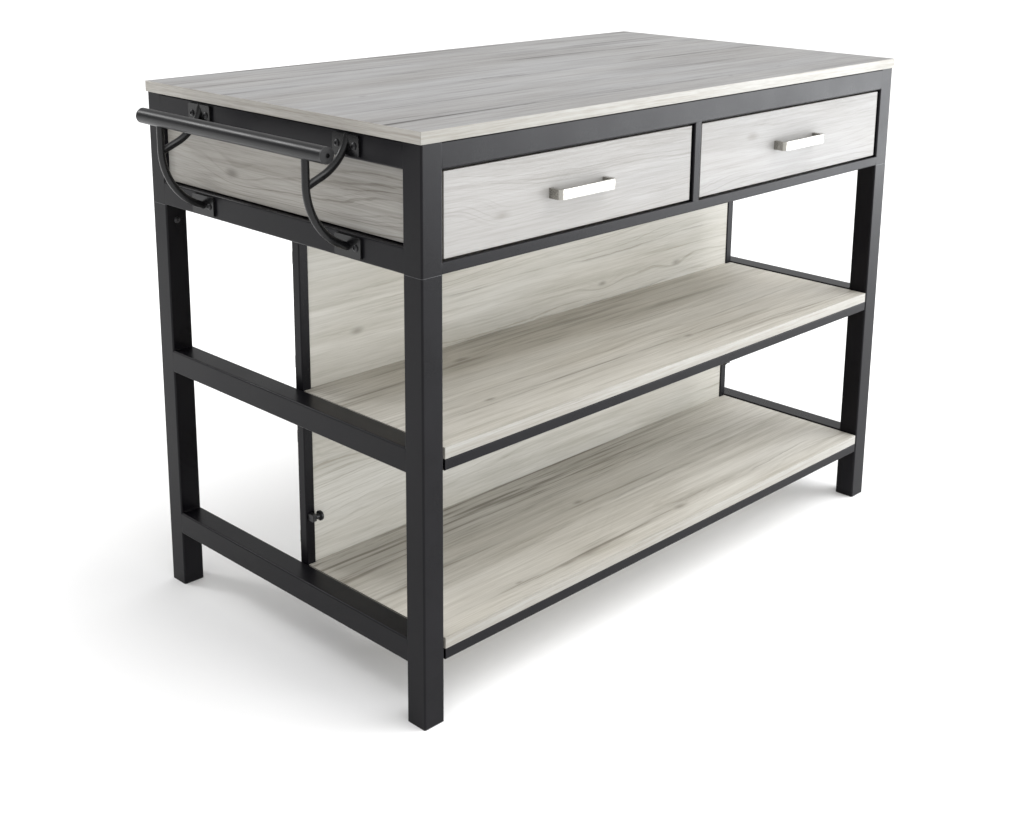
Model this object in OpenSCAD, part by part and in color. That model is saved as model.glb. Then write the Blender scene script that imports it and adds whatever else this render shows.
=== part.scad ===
// Kitchen island on a square-tube frame: a drawer apron on four bolted legs, two shelves in
// front of a back panel, knee room behind it, and a towel bar on the left end.
// X runs left to right, Y front to back and Z up. The origin is on the floor, under the
// middle of the whole footprint, with the towel bar and the drawer pulls.

/* [Overall] */
// Height of the worktop's upper face above the floor
height = 914; // [870:1:960]
// Width of the steel frame, end to end
frame_w = 1240; // [1120:1:1360]
// Depth of the steel frame, front to back
frame_d = 688; // [650:1:740]
// Reach of the worktop past the frame on every side
top_overhang = 2; // [0.5:0.5:8]

/* [Steel tube] */
// Side of the main square tube
tube = 40; // [38:1:44]
// Wall of the main tube
tube_wall = 1.5; // [1.2:0.1:2.5]
// Outside corner radius of the main tube
tube_r = 3; // [2:0.5:3]
// Side of the slim square tube
slim = 18; // [16:1:20]
// Wall of the slim tube
slim_wall = 1.2; // [0.9:0.1:2]
// Outside corner radius of the slim tube
slim_r = 2; // [1.5:0.1:3]

/* [Levels] */
// Height of the drawer apron, from the leg joint to the worktop
apron_h = 190; // [184:1:220]
// Top of the middle side rails above the floor
mid_rail_top = 446; // [400:1:480]
// Top of the low side rails above the floor
low_rail_top = 140; // [110:1:180]
// Shelf surface below the top of its side rails
shelf_drop = 1.5; // [0:0.5:4]

/* [Boards] */
// Thickness of the worktop
top_t = 18; // [15:1:25]
// Thickness of the shelves
shelf_t = 18; // [15:1:20]
// Thickness of the edging strips
edging_t = 1; // [0.5:0.1:2]
// Thickness of the apron's infill panels
infill_t = 15; // [12:1:18]
// Set-back of the infill panels from the tube's outer face
infill_setback = 10; // [6:1:12]
// Gap below the infill panels
infill_gap = 2; // [1:0.5:3]
// Set-back of the back panels from the posts' front faces
back_setback = 2; // [1:0.5:3]
// Middle of the back posts, measured back from the middle of the frame
back_line = -1; // [-60:1:40]
// Gap between a shelf and the legs and side rails beside it
shelf_gap = 3; // [2:0.5:5]
// Gap between a board and the tube it is fitted to
board_gap = 0.5; // [0.3:0.1:1]
// Thickness of the boards that carry the drawer slides
runner_t = 18; // [15:1:20]
// Length of the side boards that carry the drawer slides
runner_len = 430; // [410:1:520]

/* [Legs] */
// Reach of the sleeve into the leg and into the post above it
sleeve_reach = 50; // [42:1:70]
// Wall of the sleeve
sleeve_wall = 2; // [1.5:0.1:3]
// Clearance between a sleeve or a plug and the tube round it
sleeve_gap = 0.25; // [0.1:0.05:0.3]
// Drop of the leg bolt below the leg joint
leg_bolt_drop = 29; // [20:1:36]
// Thickness of the foot glides under the legs
glide_t = 1.5; // [1:0.5:4]
// Height of the foot glides' plugs inside the legs
glide_plug = 18; // [12:1:30]

/* [Drawers] */
// Gap at each end of a drawer front
front_side_gap = 5; // [3:0.5:6]
// Gap above and below a drawer front
front_edge_gap = 3; // [2:0.5:4]
// Set-back of the drawer fronts from the frame's front
front_setback = 3.5; // [2:0.5:6]
// Thickness of the drawer fronts
front_t = 18; // [15:1:20]
// Depth of the drawer box behind its front
box_depth = 420; // [410:1:450]
// Height of the drawer box
box_h = 90; // [75:1:95]
// Thickness of the drawer box boards
box_t = 12; // [10:1:15]
// Thickness of the drawer bottom
bottom_t = 5; // [4:0.5:6]
// Height of the drawer bottom above the box's lower edge
bottom_rise = 8; // [6:1:12]
// Depth of the groove that holds the drawer bottom
groove = 6; // [4:0.5:7]
// Space under the drawer box
box_lift = 10; // [8:1:14]

/* [Drawer slides] */
// Length of the slides, which is also the drawers' travel
slide_len = 400; // [380:1:405]
// Height of the outer slide member
slide_h = 35; // [32:1:45]
// Space that a slide takes beside the drawer box
slide_w = 12.7; // [12.2:0.1:13.5]
// Sheet thickness of the slide members
slide_wall = 1.2; // [1:0.1:1.3]
// Running gap between the slide members
slide_gap = 0.4; // [0.3:0.1:0.5]

/* [Drawer pulls] */
// Length of a pull
pull_len = 130; // [110:1:170]
// Height of a pull
pull_h = 16; // [12:1:20]
// Reach of a pull from the drawer front
pull_reach = 23.5; // [20:0.5:32]
// Thickness of a pull's grip
pull_grip = 4.5; // [3:0.5:6]
// Width of a pull's feet
pull_foot = 8; // [7:0.5:10]
// Outside corner radius of a pull
pull_r = 7; // [5:0.5:9]

/* [Towel bar] */
// Diameter of the bar
bar_d = 25; // [20:0.5:30]
// Wall of the bar
bar_wall = 1.5; // [1:0.1:2.5]
// Length of the bar with its end caps
bar_len = 475; // [430:1:520]
// Distance of the bar's axis from the frame
bar_reach = 76; // [72:1:88]
// Distance of each bracket from its end of the bar
bracket_inset = 51.5; // [40:0.5:70]
// Diameter of the bracket rod
rod_d = 12; // [9:0.5:13]
// Radius of the main rod's bend
main_bend_r = 108; // [95:1:112]
// Radius of the branch rod's bend
branch_bend_r = 84; // [60:1:90]
// Lean of the branch rod from upright, where it leaves the plate
branch_lean = 26; // [24:1:35]
// Turn of the branch rod's bend
branch_turn = 42; // [30:1:44]
// Width of a bracket plate
plate_w = 60; // [56:1:70]
// Height of a bracket plate
plate_h = 32; // [28:1:32]
// Thickness of a bracket plate
plate_t = 4; // [3:0.5:5]
// Distance between the two bolts of a plate
plate_pitch = 38; // [34:1:42]

/* [Fasteners] */
// Diameter of the frame bolts
bolt_d = 6; // [5:0.5:6]
// Diameter of the frame bolts' heads
bolt_head_d = 10.5; // [9:0.5:12]
// Height of the frame bolts' heads
bolt_head_h = 3.3; // [2.8:0.1:4]
// Clearance round a bolt in a plain hole
bolt_gap = 0.3; // [0.2:0.1:0.5]
// Diameter of the wood screws
screw_d = 4; // [3:0.5:4.5]
// Depth that a wood screw reaches into its board
screw_bite = 10; // [7:1:10]
// Thickness of the steel tabs
tab_t = 2; // [1.5:0.1:3]
// Width of the steel tabs
tab_w = 20; // [16:1:24]
// Diameter of the head of a panel stud
stud_d = 17; // [14:0.5:18]
// Height of the panel studs above the low side rails
stud_rise = 84; // [60:1:120]

/* [Hidden] */
$fn = 64;

// Colours of the materials
steel = [0.16, 0.16, 0.17];
wood = [0.76, 0.74, 0.71];
edging = [0.86, 0.84, 0.80];
box_wood = [0.88, 0.86, 0.82];
zinc = [0.68, 0.69, 0.70];
nickel = [0.80, 0.80, 0.79];
black_plastic = [0.08, 0.08, 0.08];

// Distances of the fasteners from the ends and edges of what they hold
shelf_bolt_inset = 60;
post_bolt_drop = 12;
strap_inset = 45;
runner_screw_inset = 50;
slide_hole_inset = 45;
box_screw_inset = 12;
// Places of the outer tabs and screws, as shares of the half length they lie along
tab_share = 0.7;
shelf_screw_share = 0.6;
front_screw_share = 0.4;

// Half the frame's width and depth, and the faces of the corner tubes that look inward
half_w = frame_w / 2;
half_d = frame_d / 2;
in_x = half_w - tube;
in_y = half_d - tube;
// Middle lines of the tubes that stand in the corners
post_x = half_w - tube / 2;
post_y = half_d - tube / 2;

// Least corner radius of the plugs in the legs
least_r = 0.5;

// Levels of the apron
frame_top = height - top_t;
apron_low = frame_top - apron_h;
top_rail_z = frame_top - tube / 2;
bottom_rail_z = apron_low + tube / 2;
open_high = frame_top - tube;
side_open_low = apron_low + tube;
front_open_low = apron_low + slim;

// Shelves: top faces, middle lines of the slim rails under them, and half their width
shelf_tops = [mid_rail_top - shelf_drop, low_rail_top - shelf_drop];
shelf_rail_drop = shelf_t + slim / 2;
shelf_x = in_x - shelf_gap;
shelf_rear = back_line + slim / 2;

// Back posts: middle line, inner face, front face, top and foot
back_post_x = in_x - slim / 2;
post_in_x = in_x - slim;
post_front = back_line - slim / 2;
back_post_top = side_open_low;
back_post_foot = low_rail_top - tube;
// Thickness of the back panels, which end flush with the posts' rear faces
back_t = slim - back_setback;

// Panel studs: size of the lug and its shift off the post's middle line, distance of the stud
// from the post, its neck, and its head with the rise of its dome
stud_lug = [8, 13, 12];
stud_lug_shift = 1;
stud_reach = 9.5;
stud_neck_d = 9.5;
stud_neck_len = 8;
stud_head_h = 7;
stud_head_rise = 4;

// Boards that carry the slides: their front, foot and top
runner_gap = 2;
runner_inset = 10;
centre_inset = 2;
centre_tab_h = slim - 2 * centre_inset;
front_back_face = -half_d + front_setback + front_t;
runner_front = front_back_face + runner_gap;
runner_foot = apron_low + runner_inset;
runner_top = frame_top - runner_inset;
centre_foot = apron_low + centre_inset;
centre_half = runner_t / 2;
// The upper back panel ends under the middle board
back_panel_top = centre_foot - board_gap;

// Drawer fronts
front_w = in_x - slim / 2 - 2 * front_side_gap;
front_h = open_high - front_open_low - 2 * front_edge_gap;
front_x = (in_x + slim / 2) / 2;
front_z = (open_high + front_open_low) / 2;
// What the inside corners of a pull have beyond an even thickness
pull_fill = 1;
// Drawer boxes, between the slides
box_out = in_x - runner_t - slide_w;
box_in = centre_half + slide_w;
box_w = box_out - box_in;
box_x = (box_out + box_in) / 2;
box_low = front_open_low + box_lift;
slide_z = box_low + box_h / 2;
slide_open_gap = 0.9;
slide_hole_ys = [runner_front + slide_hole_inset, runner_front + slide_len - slide_hole_inset];

// Glue line between boards, and between edging strips
glue_gap = 0.1;

// Towel bar, and where the main rod's bend starts and how far it turns
bar_z = top_rail_z;
bracket_y = bar_len / 2 - bracket_inset;
cap_t = 4;
cap_rise = 2;
cap_plug_len = 12;
cap_socket_d = 8;
main_turn = acos(1 - (bar_reach - plate_t) / main_bend_r);
main_bend_z = bottom_rail_z + main_bend_r * sin(main_turn);
past_angle = 6;
weld_depth = 0.5;
plate_r = 4;
rod_let = 2;
rod_step = 0.1;

// Fasteners
screw_head_h = 2.2;
screw_head_d = 2 * screw_d;
thread_run = 6;
pull_screw_bite = 8;
// Half the space between screws that meet in the middle board
screw_end_gap = 1.5;
// Board left ahead of the screws in the drawer boxes' sides
screw_end_cover = 2;
// Diameter of the washers beside the shelf frames
washer_d = 2.3 * bolt_d;
// Reach of a cut past the face that it opens
poke = 1;

// Sides on which mirrored pieces lie
sides = [-1, 1];

// Half the footprint beyond the frame, left against right and front against rear
left_reach = bar_reach + bar_d / 2;
front_reach = max(pull_reach - front_setback, top_overhang);
frame_mid = [(left_reach - top_overhang) / 2, (front_reach - top_overhang) / 2, 0];

// ---------------------------------------------------------------- shared shapes

// Children in the frame's own place above the origin
module in_place(tone) {
    color(tone) {
        translate(frame_mid) {
            children();
        }
    }
}

// Rectangle with round corners about its middle
module round_rect(w, h, r) {
    square([w - 2 * r, h], center = true);
    square([w, h - 2 * r], center = true);
    for (x = sides, y = sides) {
        translate([x * (w / 2 - r), y * (h / 2 - r)]) {
            circle(r);
        }
    }
}

// Square tube that stands on the origin
module square_tube(len, side, wall, r) {
    bore = side - 2 * wall;
    linear_extrude(len) {
        difference() {
            round_rect(side, side, r);
            round_rect(bore, bore, max(r - wall, 0.4));
        }
    }
}

module main_tube(len) {
    square_tube(len, tube, tube_wall, tube_r);
}

module slim_tube(len) {
    square_tube(len, slim, slim_wall, slim_r);
}

// Upright children laid along X or Y
module along_x() {
    rotate([0, 90, 0]) {
        children();
    }
}

module along_y() {
    rotate([-90, 0, 0]) {
        children();
    }
}

// Box from its low corner to its high corner
module block(low, high) {
    translate(low) {
        cube(high - low);
    }
}

// Disc whose upper face rises to a dome over the last part of its height
module domed_disc(d, h, rise) {
    dome_r = (d * d / 4 + rise * rise) / (2 * rise);
    intersection() {
        cylinder(d = d, h = h);
        translate([0, 0, h - dome_r]) {
            sphere(dome_r);
        }
    }
}

// Bolt up from the face under its domed head, which has a hexagon socket
module bolt(len) {
    socket_d = bolt_d * 0.72;
    socket_depth = bolt_head_h * 0.6;
    cylinder(d = bolt_d, h = len);
    difference() {
        mirror([0, 0, 1]) {
            domed_disc(bolt_head_d, bolt_head_h, bolt_head_h * 0.6);
        }
        translate([0, 0, -bolt_head_h - poke]) {
            cylinder(d = socket_d, h = socket_depth + poke, $fn = 6);
        }
    }
}

// Hole for a bolt or a screw, from a little before the face to the given depth
module hole(d, depth) {
    translate([0, 0, -poke]) {
        cylinder(d = d, h = depth + poke);
    }
}

// Screw up from the face under its flat head
module screw(len) {
    cylinder(d = screw_d, h = len);
    translate([0, 0, -screw_head_h]) {
        cylinder(d1 = screw_head_d * 0.7, d2 = screw_head_d, h = screw_head_h);
    }
}

// ---------------------------------------------------------------- places of the fasteners

// Each of these puts its child where a fastener goes, with the shank along the child's Z

module at_leg_bolts() {
    for (x = sides, y = sides) {
        translate([x * post_x, y * in_y, apron_low - leg_bolt_drop]) {
            rotate([-90 * y, 0, 0]) {
                children();
            }
        }
    }
}

module at_shelf_bolts() {
    ys = [-half_d + slim + shelf_bolt_inset, post_front - shelf_bolt_inset];
    for (x = sides, z = shelf_tops, y = ys) {
        translate([x * (shelf_x - slim), y, z - shelf_rail_drop]) {
            rotate([0, 90 * x, 0]) {
                children();
            }
        }
    }
}

module at_post_bolts() {
    for (x = sides) {
        translate([x * post_in_x, back_line, back_post_top - post_bolt_drop]) {
            rotate([0, 90 * x, 0]) {
                children();
            }
        }
    }
}

module at_towel_bolts() {
    for (y = [-bracket_y, bracket_y], step = sides, z = [top_rail_z, bottom_rail_z]) {
        translate([-half_w - plate_t, y + step * plate_pitch / 2, z]) {
            along_x() {
                children();
            }
        }
    }
}

// Tabs under the worktop, on the inner faces of the top rails
module at_top_tabs() {
    for (turn = [0, 180], x = [-in_x * tab_share, 0, in_x * tab_share]) {
        rotate([0, 0, turn]) {
            translate([x, -in_y, frame_top]) {
                children();
            }
        }
    }
    for (x = sides) {
        translate([x * in_x, (runner_front + runner_len + in_y) / 2, frame_top]) {
            rotate([0, 0, 90 * x]) {
                children();
            }
        }
    }
}

// Tabs behind the infill panels, above and below, seen with the panel toward +Y
module at_panel_tabs(turn, face, reach) {
    inner = face - infill_setback - infill_t;
    rotate([0, 0, turn]) {
        for (x = [-reach, reach]) {
            translate([x, inner, side_open_low]) {
                children();
            }
            translate([x, inner, open_high]) {
                mirror([0, 0, 1]) {
                    children();
                }
            }
        }
    }
}

module at_left_panel_tabs() {
    at_panel_tabs(90, half_w, in_y * tab_share) {
        children();
    }
}

module at_right_panel_tabs() {
    at_panel_tabs(270, half_w, in_y * tab_share) {
        children();
    }
}

module at_rear_panel_tabs() {
    at_panel_tabs(0, half_d, in_x * tab_share) {
        children();
    }
}

// Tabs beside the ends of the middle board, on the backs of the bottom rails
module at_centre_tabs() {
    for (place = [[-half_d + slim, 1], [in_y, -1]]) {
        translate([-centre_half, place[0], centre_foot]) {
            mirror([0, (1 - place[1]) / 2, 0]) {
                children();
            }
        }
    }
}

// Straps across the back posts and the back panels' edges
module at_back_straps(levels) {
    for (x = sides, z = levels) {
        translate([x * post_in_x, shelf_rear, z]) {
            mirror([(1 - x) / 2, 0, 0]) {
                children();
            }
        }
    }
}

upper_strap_levels = [shelf_tops[0] + strap_inset, back_panel_top - strap_inset];
lower_panel_top = shelf_tops[0] - shelf_t - slim - screw_head_h - board_gap;
lower_strap_levels = [shelf_tops[1] + strap_inset, lower_panel_top - strap_inset];

// Screws that hold the side boards to the apron's side rails
module at_runner_screws(side) {
    ys = [runner_front + runner_screw_inset, runner_front + runner_len - runner_screw_inset];
    for (y = ys, z = [bottom_rail_z, top_rail_z]) {
        translate([side * (in_x - runner_t), y, z]) {
            rotate([0, 90 * side, 0]) {
                children();
            }
        }
    }
}

// Screws up through the slim rails into a shelf
module at_shelf_screws(top) {
    for (x = [-shelf_x, shelf_x] * shelf_screw_share, y = [-half_d + slim / 2, back_line]) {
        translate([x, y, top - shelf_t - slim]) {
            children();
        }
    }
}

// Screws through the outer slide members, first beside the drawer's outer end, then inner end
module at_slide_screws(side) {
    for (y = slide_hole_ys) {
        translate([side * (in_x - runner_t), y, slide_z]) {
            rotate([0, 90 * side, 0]) {
                children();
            }
        }
        translate([side * centre_half, y, slide_z]) {
            rotate([0, -90 * side, 0]) {
                children();
            }
        }
    }
}

// Screws through the inner slide members into the drawer box
module at_box_screws(side) {
    for (y = slide_hole_ys) {
        translate([side * (box_out + slide_wall), y, slide_z]) {
            rotate([0, -90 * side, 0]) {
                children();
            }
        }
        translate([side * (box_in - slide_wall), y, slide_z]) {
            rotate([0, 90 * side, 0]) {
                children();
            }
        }
    }
}

// Screws from inside a drawer box into its front
module at_front_screws(side) {
    zs = [box_low + bottom_rise + bottom_t + box_screw_inset, box_low + box_h - box_screw_inset];
    for (x = [-box_w, box_w] * front_screw_share, z = zs) {
        translate([side * box_x + x, front_back_face + box_t, z]) {
            rotate([90, 0, 0]) {
                children();
            }
        }
    }
}

// Screws from inside a drawer box into the feet of its pull
module at_pull_screws(side) {
    for (step = sides) {
        translate([side * front_x + step * (pull_len - pull_foot) / 2, front_back_face + box_t, front_z]) {
            rotate([90, 0, 0]) {
                children();
            }
        }
    }
}

// ---------------------------------------------------------------- lengths of the fasteners

leg_bolt_len = tube_wall + sleeve_gap + sleeve_wall + thread_run;
shelf_bolt_len = slim + shelf_gap + thread_run;
post_bolt_len = slim + thread_run;
towel_bolt_len = plate_t + thread_run;
tab_screw_len = tab_t + screw_bite;
runner_screw_len = runner_t + thread_run;
shelf_screw_len = slim + screw_bite;
slide_screw_len = runner_t / 2 - screw_end_gap;
box_screw_len = slide_wall + box_t - screw_end_cover;
front_screw_len = box_t + screw_bite;
pull_screw_len = box_t + front_t + pull_screw_bite;
plain_hole_d = bolt_d + 2 * bolt_gap;

// ---------------------------------------------------------------- worktop

module worktop() {
    x = half_w + top_overhang - edging_t;
    y = half_d + top_overhang - edging_t;
    in_place(wood) {
        difference() {
            block([-x, -y, frame_top], [x, y, height]);
            at_top_tabs() {
                translate([0, tab_w / 2 + tab_t, -tab_t]) {
                    hole(screw_d, tab_screw_len);
                }
            }
        }
    }
}

// Strips on the worktop's four edges and along the front of the shelves
module edge_strips() {
    x = half_w + top_overhang;
    y = half_d + top_overhang;
    in_place(edging) {
        for (step = sides) {
            translate([0, step * (y - edging_t / 2), height - top_t / 2]) {
                cube([2 * x, edging_t, top_t], center = true);
            }
            translate([step * (x - edging_t / 2), 0, height - top_t / 2]) {
                cube([edging_t, 2 * (y - edging_t - glue_gap), top_t], center = true);
            }
        }
        for (top = shelf_tops) {
            block([-shelf_x, -half_d, top - shelf_t], [shelf_x, -half_d + edging_t, top]);
        }
    }
}

// ---------------------------------------------------------------- apron

module corner_posts() {
    in_place(steel) {
        for (x = sides, y = sides) {
            translate([x * post_x, y * post_y, apron_low]) {
                main_tube(apron_h);
            }
        }
    }
}

// Rail of the main tube between the left and right corners
module long_rail(y, z) {
    in_place(steel) {
        translate([-in_x, y, z]) {
            along_x() {
                main_tube(2 * in_x);
            }
        }
    }
}

// Rail of the main tube between the front and rear corners
module short_rail(side, z) {
    translate([side * post_x, -in_y, z]) {
        along_y() {
            main_tube(2 * in_y);
        }
    }
}

// Side rail of the apron, drilled for the slides' board and, on the left, the towel brackets
module apron_side_rail(side, z) {
    in_place(steel) {
        difference() {
            short_rail(side, z);
            at_runner_screws(side) {
                hole(screw_d, runner_screw_len + poke);
            }
            if (side < 0) {
                at_towel_bolts() {
                    hole(bolt_d, towel_bolt_len + poke);
                }
            }
            at_post_bolts() {
                hole(bolt_d, post_bolt_len + poke);
            }
        }
    }
}

module front_top_rail() {
    long_rail(-post_y, top_rail_z);
}

module rear_top_rail() {
    long_rail(post_y, top_rail_z);
}

module rear_bottom_rail() {
    long_rail(post_y, bottom_rail_z);
}

module left_top_rail() {
    apron_side_rail(-1, top_rail_z);
}

module right_top_rail() {
    apron_side_rail(1, top_rail_z);
}

module left_bottom_rail() {
    apron_side_rail(-1, bottom_rail_z);
}

module right_bottom_rail() {
    apron_side_rail(1, bottom_rail_z);
}

module front_bottom_rail() {
    in_place(steel) {
        translate([-in_x, -half_d + slim / 2, apron_low + slim / 2]) {
            along_x() {
                slim_tube(2 * in_x);
            }
        }
    }
}

// Upright between the two drawers
module mullion() {
    in_place(steel) {
        translate([0, -half_d + slim / 2, front_open_low]) {
            slim_tube(open_high - front_open_low);
        }
    }
}

// Infill panel that reaches the given distance each way along X, its outer side toward +Y
module infill_panel(face, reach) {
    outer = face - infill_setback;
    low = [-reach + board_gap, outer - infill_t, side_open_low + infill_gap];
    block(low, [reach - board_gap, outer, open_high - board_gap]);
}

module tab_screw_holes() {
    translate([0, -tab_t, tab_w / 2]) {
        along_y() {
            hole(screw_d, tab_screw_len);
        }
    }
}

module left_apron_panel() {
    in_place(wood) {
        difference() {
            rotate([0, 0, 90]) {
                infill_panel(half_w, in_y);
            }
            at_left_panel_tabs() {
                tab_screw_holes();
            }
        }
    }
}

module right_apron_panel() {
    in_place(wood) {
        difference() {
            rotate([0, 0, 270]) {
                infill_panel(half_w, in_y);
            }
            at_right_panel_tabs() {
                tab_screw_holes();
            }
        }
    }
}

module rear_apron_panel() {
    in_place(wood) {
        difference() {
            infill_panel(half_d, in_x);
            at_rear_panel_tabs() {
                tab_screw_holes();
            }
        }
    }
}

// Board on the inner faces of the apron's side rails, cut out for the front rail and the post
module side_runner_board(side) {
    in_place(box_wood) {
        difference() {
            mirror([(1 - side) / 2, 0, 0]) {
                difference() {
                    block([in_x - runner_t, runner_front, runner_foot],
                        [in_x, runner_front + runner_len, runner_top]);
                    block([in_x - runner_t - poke, runner_front - poke, open_high - board_gap],
                        [in_x + poke, -in_y + board_gap, runner_top + poke]);
                    block([in_x - runner_t - poke, post_front - board_gap, runner_foot - poke],
                        [in_x + poke, shelf_rear + board_gap, back_post_top + board_gap]);
                }
            }
            at_runner_screws(side) {
                hole(screw_d, runner_screw_len);
            }
            at_slide_screws(side) {
                hole(screw_d, slide_screw_len);
            }
        }
    }
}

module left_runner_board() {
    side_runner_board(-1);
}

module right_runner_board() {
    side_runner_board(1);
}

// Board behind the mullion, from the front bottom rail to the rear bottom rail
module centre_runner_board() {
    in_place(box_wood) {
        difference() {
            block([-centre_half, -half_d + slim, centre_foot], [centre_half, in_y, open_high - board_gap]);
            for (side = sides) {
                at_slide_screws(side) {
                    hole(screw_d, slide_screw_len);
                }
            }
            at_centre_tabs() {
                centre_tab_screw_place() {
                    hole(screw_d, tab_screw_len);
                }
            }
        }
    }
}

// ---------------------------------------------------------------- legs

// Leg of the main tube, drilled for the bolt that locks it
module leg(x, y) {
    in_place(steel) {
        difference() {
            translate([x * post_x, y * post_y, glide_t]) {
                main_tube(apron_low - glide_t);
            }
            at_leg_bolts() {
                hole(plain_hole_d, leg_bolt_len);
            }
        }
    }
}

module front_left_leg() {
    leg(-1, -1);
}

module front_right_leg() {
    leg(1, -1);
}

module rear_left_leg() {
    leg(-1, 1);
}

module rear_right_leg() {
    leg(1, 1);
}

// Middle and low rail between two legs
module leg_side_rails(side) {
    in_place(steel) {
        difference() {
            for (top = [mid_rail_top, low_rail_top]) {
                short_rail(side, top - tube / 2);
            }
            at_shelf_bolts() {
                hole(bolt_d, shelf_bolt_len + poke);
            }
        }
    }
}

module left_side_rails() {
    leg_side_rails(-1);
}

module right_side_rails() {
    leg_side_rails(1);
}

// Square sleeves that join the legs to the corner posts above them
module leg_sleeves() {
    side = tube - 2 * tube_wall - 2 * sleeve_gap;
    in_place(zinc) {
        difference() {
            for (x = sides, y = sides) {
                translate([x * post_x, y * post_y, apron_low - sleeve_reach]) {
                    square_tube(2 * sleeve_reach, side, sleeve_wall, tube_r - tube_wall);
                }
            }
            at_leg_bolts() {
                hole(bolt_d, leg_bolt_len + poke);
            }
        }
    }
}

// Plastic plates under the legs, with plugs inside the tube
module foot_glides() {
    plug = tube - 2 * tube_wall - 2 * sleeve_gap;
    plug_r = max(tube_r - tube_wall, least_r);
    in_place(black_plastic) {
        for (x = sides, y = sides) {
            translate([x * post_x, y * post_y, 0]) {
                linear_extrude(glide_t) {
                    round_rect(tube, tube, tube_r);
                }
                linear_extrude(glide_t + glide_plug) {
                    round_rect(plug, plug, plug_r);
                }
            }
        }
    }
}

// ---------------------------------------------------------------- shelves and back

// Shelf with its rear corners cut out round the back posts
module shelf(top) {
    notch_x = post_in_x - board_gap;
    in_place(wood) {
        difference() {
            block([-shelf_x, -half_d + edging_t, top - shelf_t], [shelf_x, shelf_rear, top]);
            for (x = sides) {
                translate([x * (notch_x + slim), post_front - board_gap + slim, top - shelf_t / 2]) {
                    cube([2 * slim, 2 * slim, shelf_t + 2 * poke], center = true);
                }
            }
            at_shelf_screws(top) {
                hole(screw_d, shelf_screw_len);
            }
        }
    }
}

module mid_shelf() {
    shelf(shelf_tops[0]);
}

module low_shelf() {
    shelf(shelf_tops[1]);
}

// Slim rail under a shelf, from -x to x
module shelf_rail(x, y, top) {
    difference() {
        translate([-x, y, top - shelf_rail_drop]) {
            along_x() {
                slim_tube(2 * x);
            }
        }
        at_shelf_screws(top) {
            hole(screw_d, shelf_screw_len);
        }
    }
}

module shelf_front_rails() {
    in_place(steel) {
        for (top = shelf_tops) {
            shelf_rail(shelf_x, -half_d + slim / 2, top);
        }
    }
}

module shelf_rear_rails() {
    in_place(steel) {
        for (top = shelf_tops) {
            shelf_rail(post_in_x, back_line, top);
        }
    }
}

// Slim rails under the ends of the shelves, bolted to the side rails
module shelf_end_rails() {
    in_place(steel) {
        difference() {
            for (x = sides, top = shelf_tops) {
                translate([x * (shelf_x - slim / 2), -half_d + slim, top - shelf_rail_drop]) {
                    along_y() {
                        slim_tube(post_front + half_d - slim);
                    }
                }
            }
            at_shelf_bolts() {
                hole(plain_hole_d, shelf_bolt_len);
            }
        }
    }
}

// Washers that fill the gap beside the shelf frames
module shelf_spacers() {
    in_place(zinc) {
        at_shelf_bolts() {
            translate([0, 0, slim]) {
                difference() {
                    cylinder(d = washer_d, h = shelf_gap);
                    hole(plain_hole_d, shelf_gap + poke);
                }
            }
        }
    }
}

module back_post(side) {
    in_place(steel) {
        difference() {
            translate([side * back_post_x, back_line, back_post_foot]) {
                slim_tube(back_post_top - back_post_foot);
            }
            at_post_bolts() {
                hole(plain_hole_d, post_bolt_len);
            }
        }
    }
}

module left_back_post() {
    back_post(-1);
}

module right_back_post() {
    back_post(1);
}

// Panel between the back posts
module back_panel(low, high, levels) {
    x = post_in_x - board_gap;
    in_place(wood) {
        difference() {
            block([-x, shelf_rear - back_t, low], [x, shelf_rear, high]);
            at_back_straps(levels) {
                strap_screw_place() {
                    hole(screw_d, tab_screw_len);
                }
            }
        }
    }
}

module upper_back_panel() {
    back_panel(shelf_tops[0], back_panel_top, upper_strap_levels);
}

module lower_back_panel() {
    back_panel(shelf_tops[1], lower_panel_top, lower_strap_levels);
}

// Round-headed studs on lugs, which lap over the lower panel's edges
module panel_studs() {
    lug_x = back_post_x - stud_lug[0] / 2 + stud_lug_shift;
    in_place(steel) {
        for (side = sides) {
            mirror([(1 - side) / 2, 0, 0]) {
                translate([lug_x, post_front, low_rail_top + stud_rise]) {
                    translate([0, -stud_lug[1], -stud_lug[2] / 2]) {
                        cube(stud_lug);
                    }
                    translate([0, -stud_reach, 0]) {
                        rotate([0, -90, 0]) {
                            cylinder(d = stud_neck_d, h = stud_neck_len);
                            translate([0, 0, stud_neck_len]) {
                                domed_disc(stud_d, stud_head_h, stud_head_rise);
                            }
                        }
                    }
                }
            }
        }
    }
}

// ---------------------------------------------------------------- tabs and fasteners

// Angle under the worktop: one side on the rail, one side on the board
module top_tab() {
    difference() {
        union() {
            block([-tab_w / 2, 0, -tab_w], [tab_w / 2, tab_t, 0]);
            block([-tab_w / 2, 0, -tab_t], [tab_w / 2, tab_w + tab_t, 0]);
        }
        translate([0, tab_w / 2 + tab_t, -tab_t]) {
            hole(screw_d, tab_t + poke);
        }
    }
}

// Tab that stands on a rail, behind an infill panel
module panel_tab() {
    difference() {
        block([-tab_w / 2, -tab_t, 0], [tab_w / 2, 0, tab_w]);
        translate([0, -tab_t, tab_w / 2]) {
            along_y() {
                hole(screw_d, tab_t + poke);
            }
        }
    }
}

// Place of the screw in a tab beside the middle board
module centre_tab_screw_place() {
    translate([-tab_t, tab_w / 2, centre_tab_h / 2]) {
        along_x() {
            children();
        }
    }
}

module centre_tab() {
    difference() {
        block([-tab_t, 0, 0], [0, tab_w, centre_tab_h]);
        centre_tab_screw_place() {
            hole(screw_d, tab_t + poke);
        }
    }
}

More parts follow.
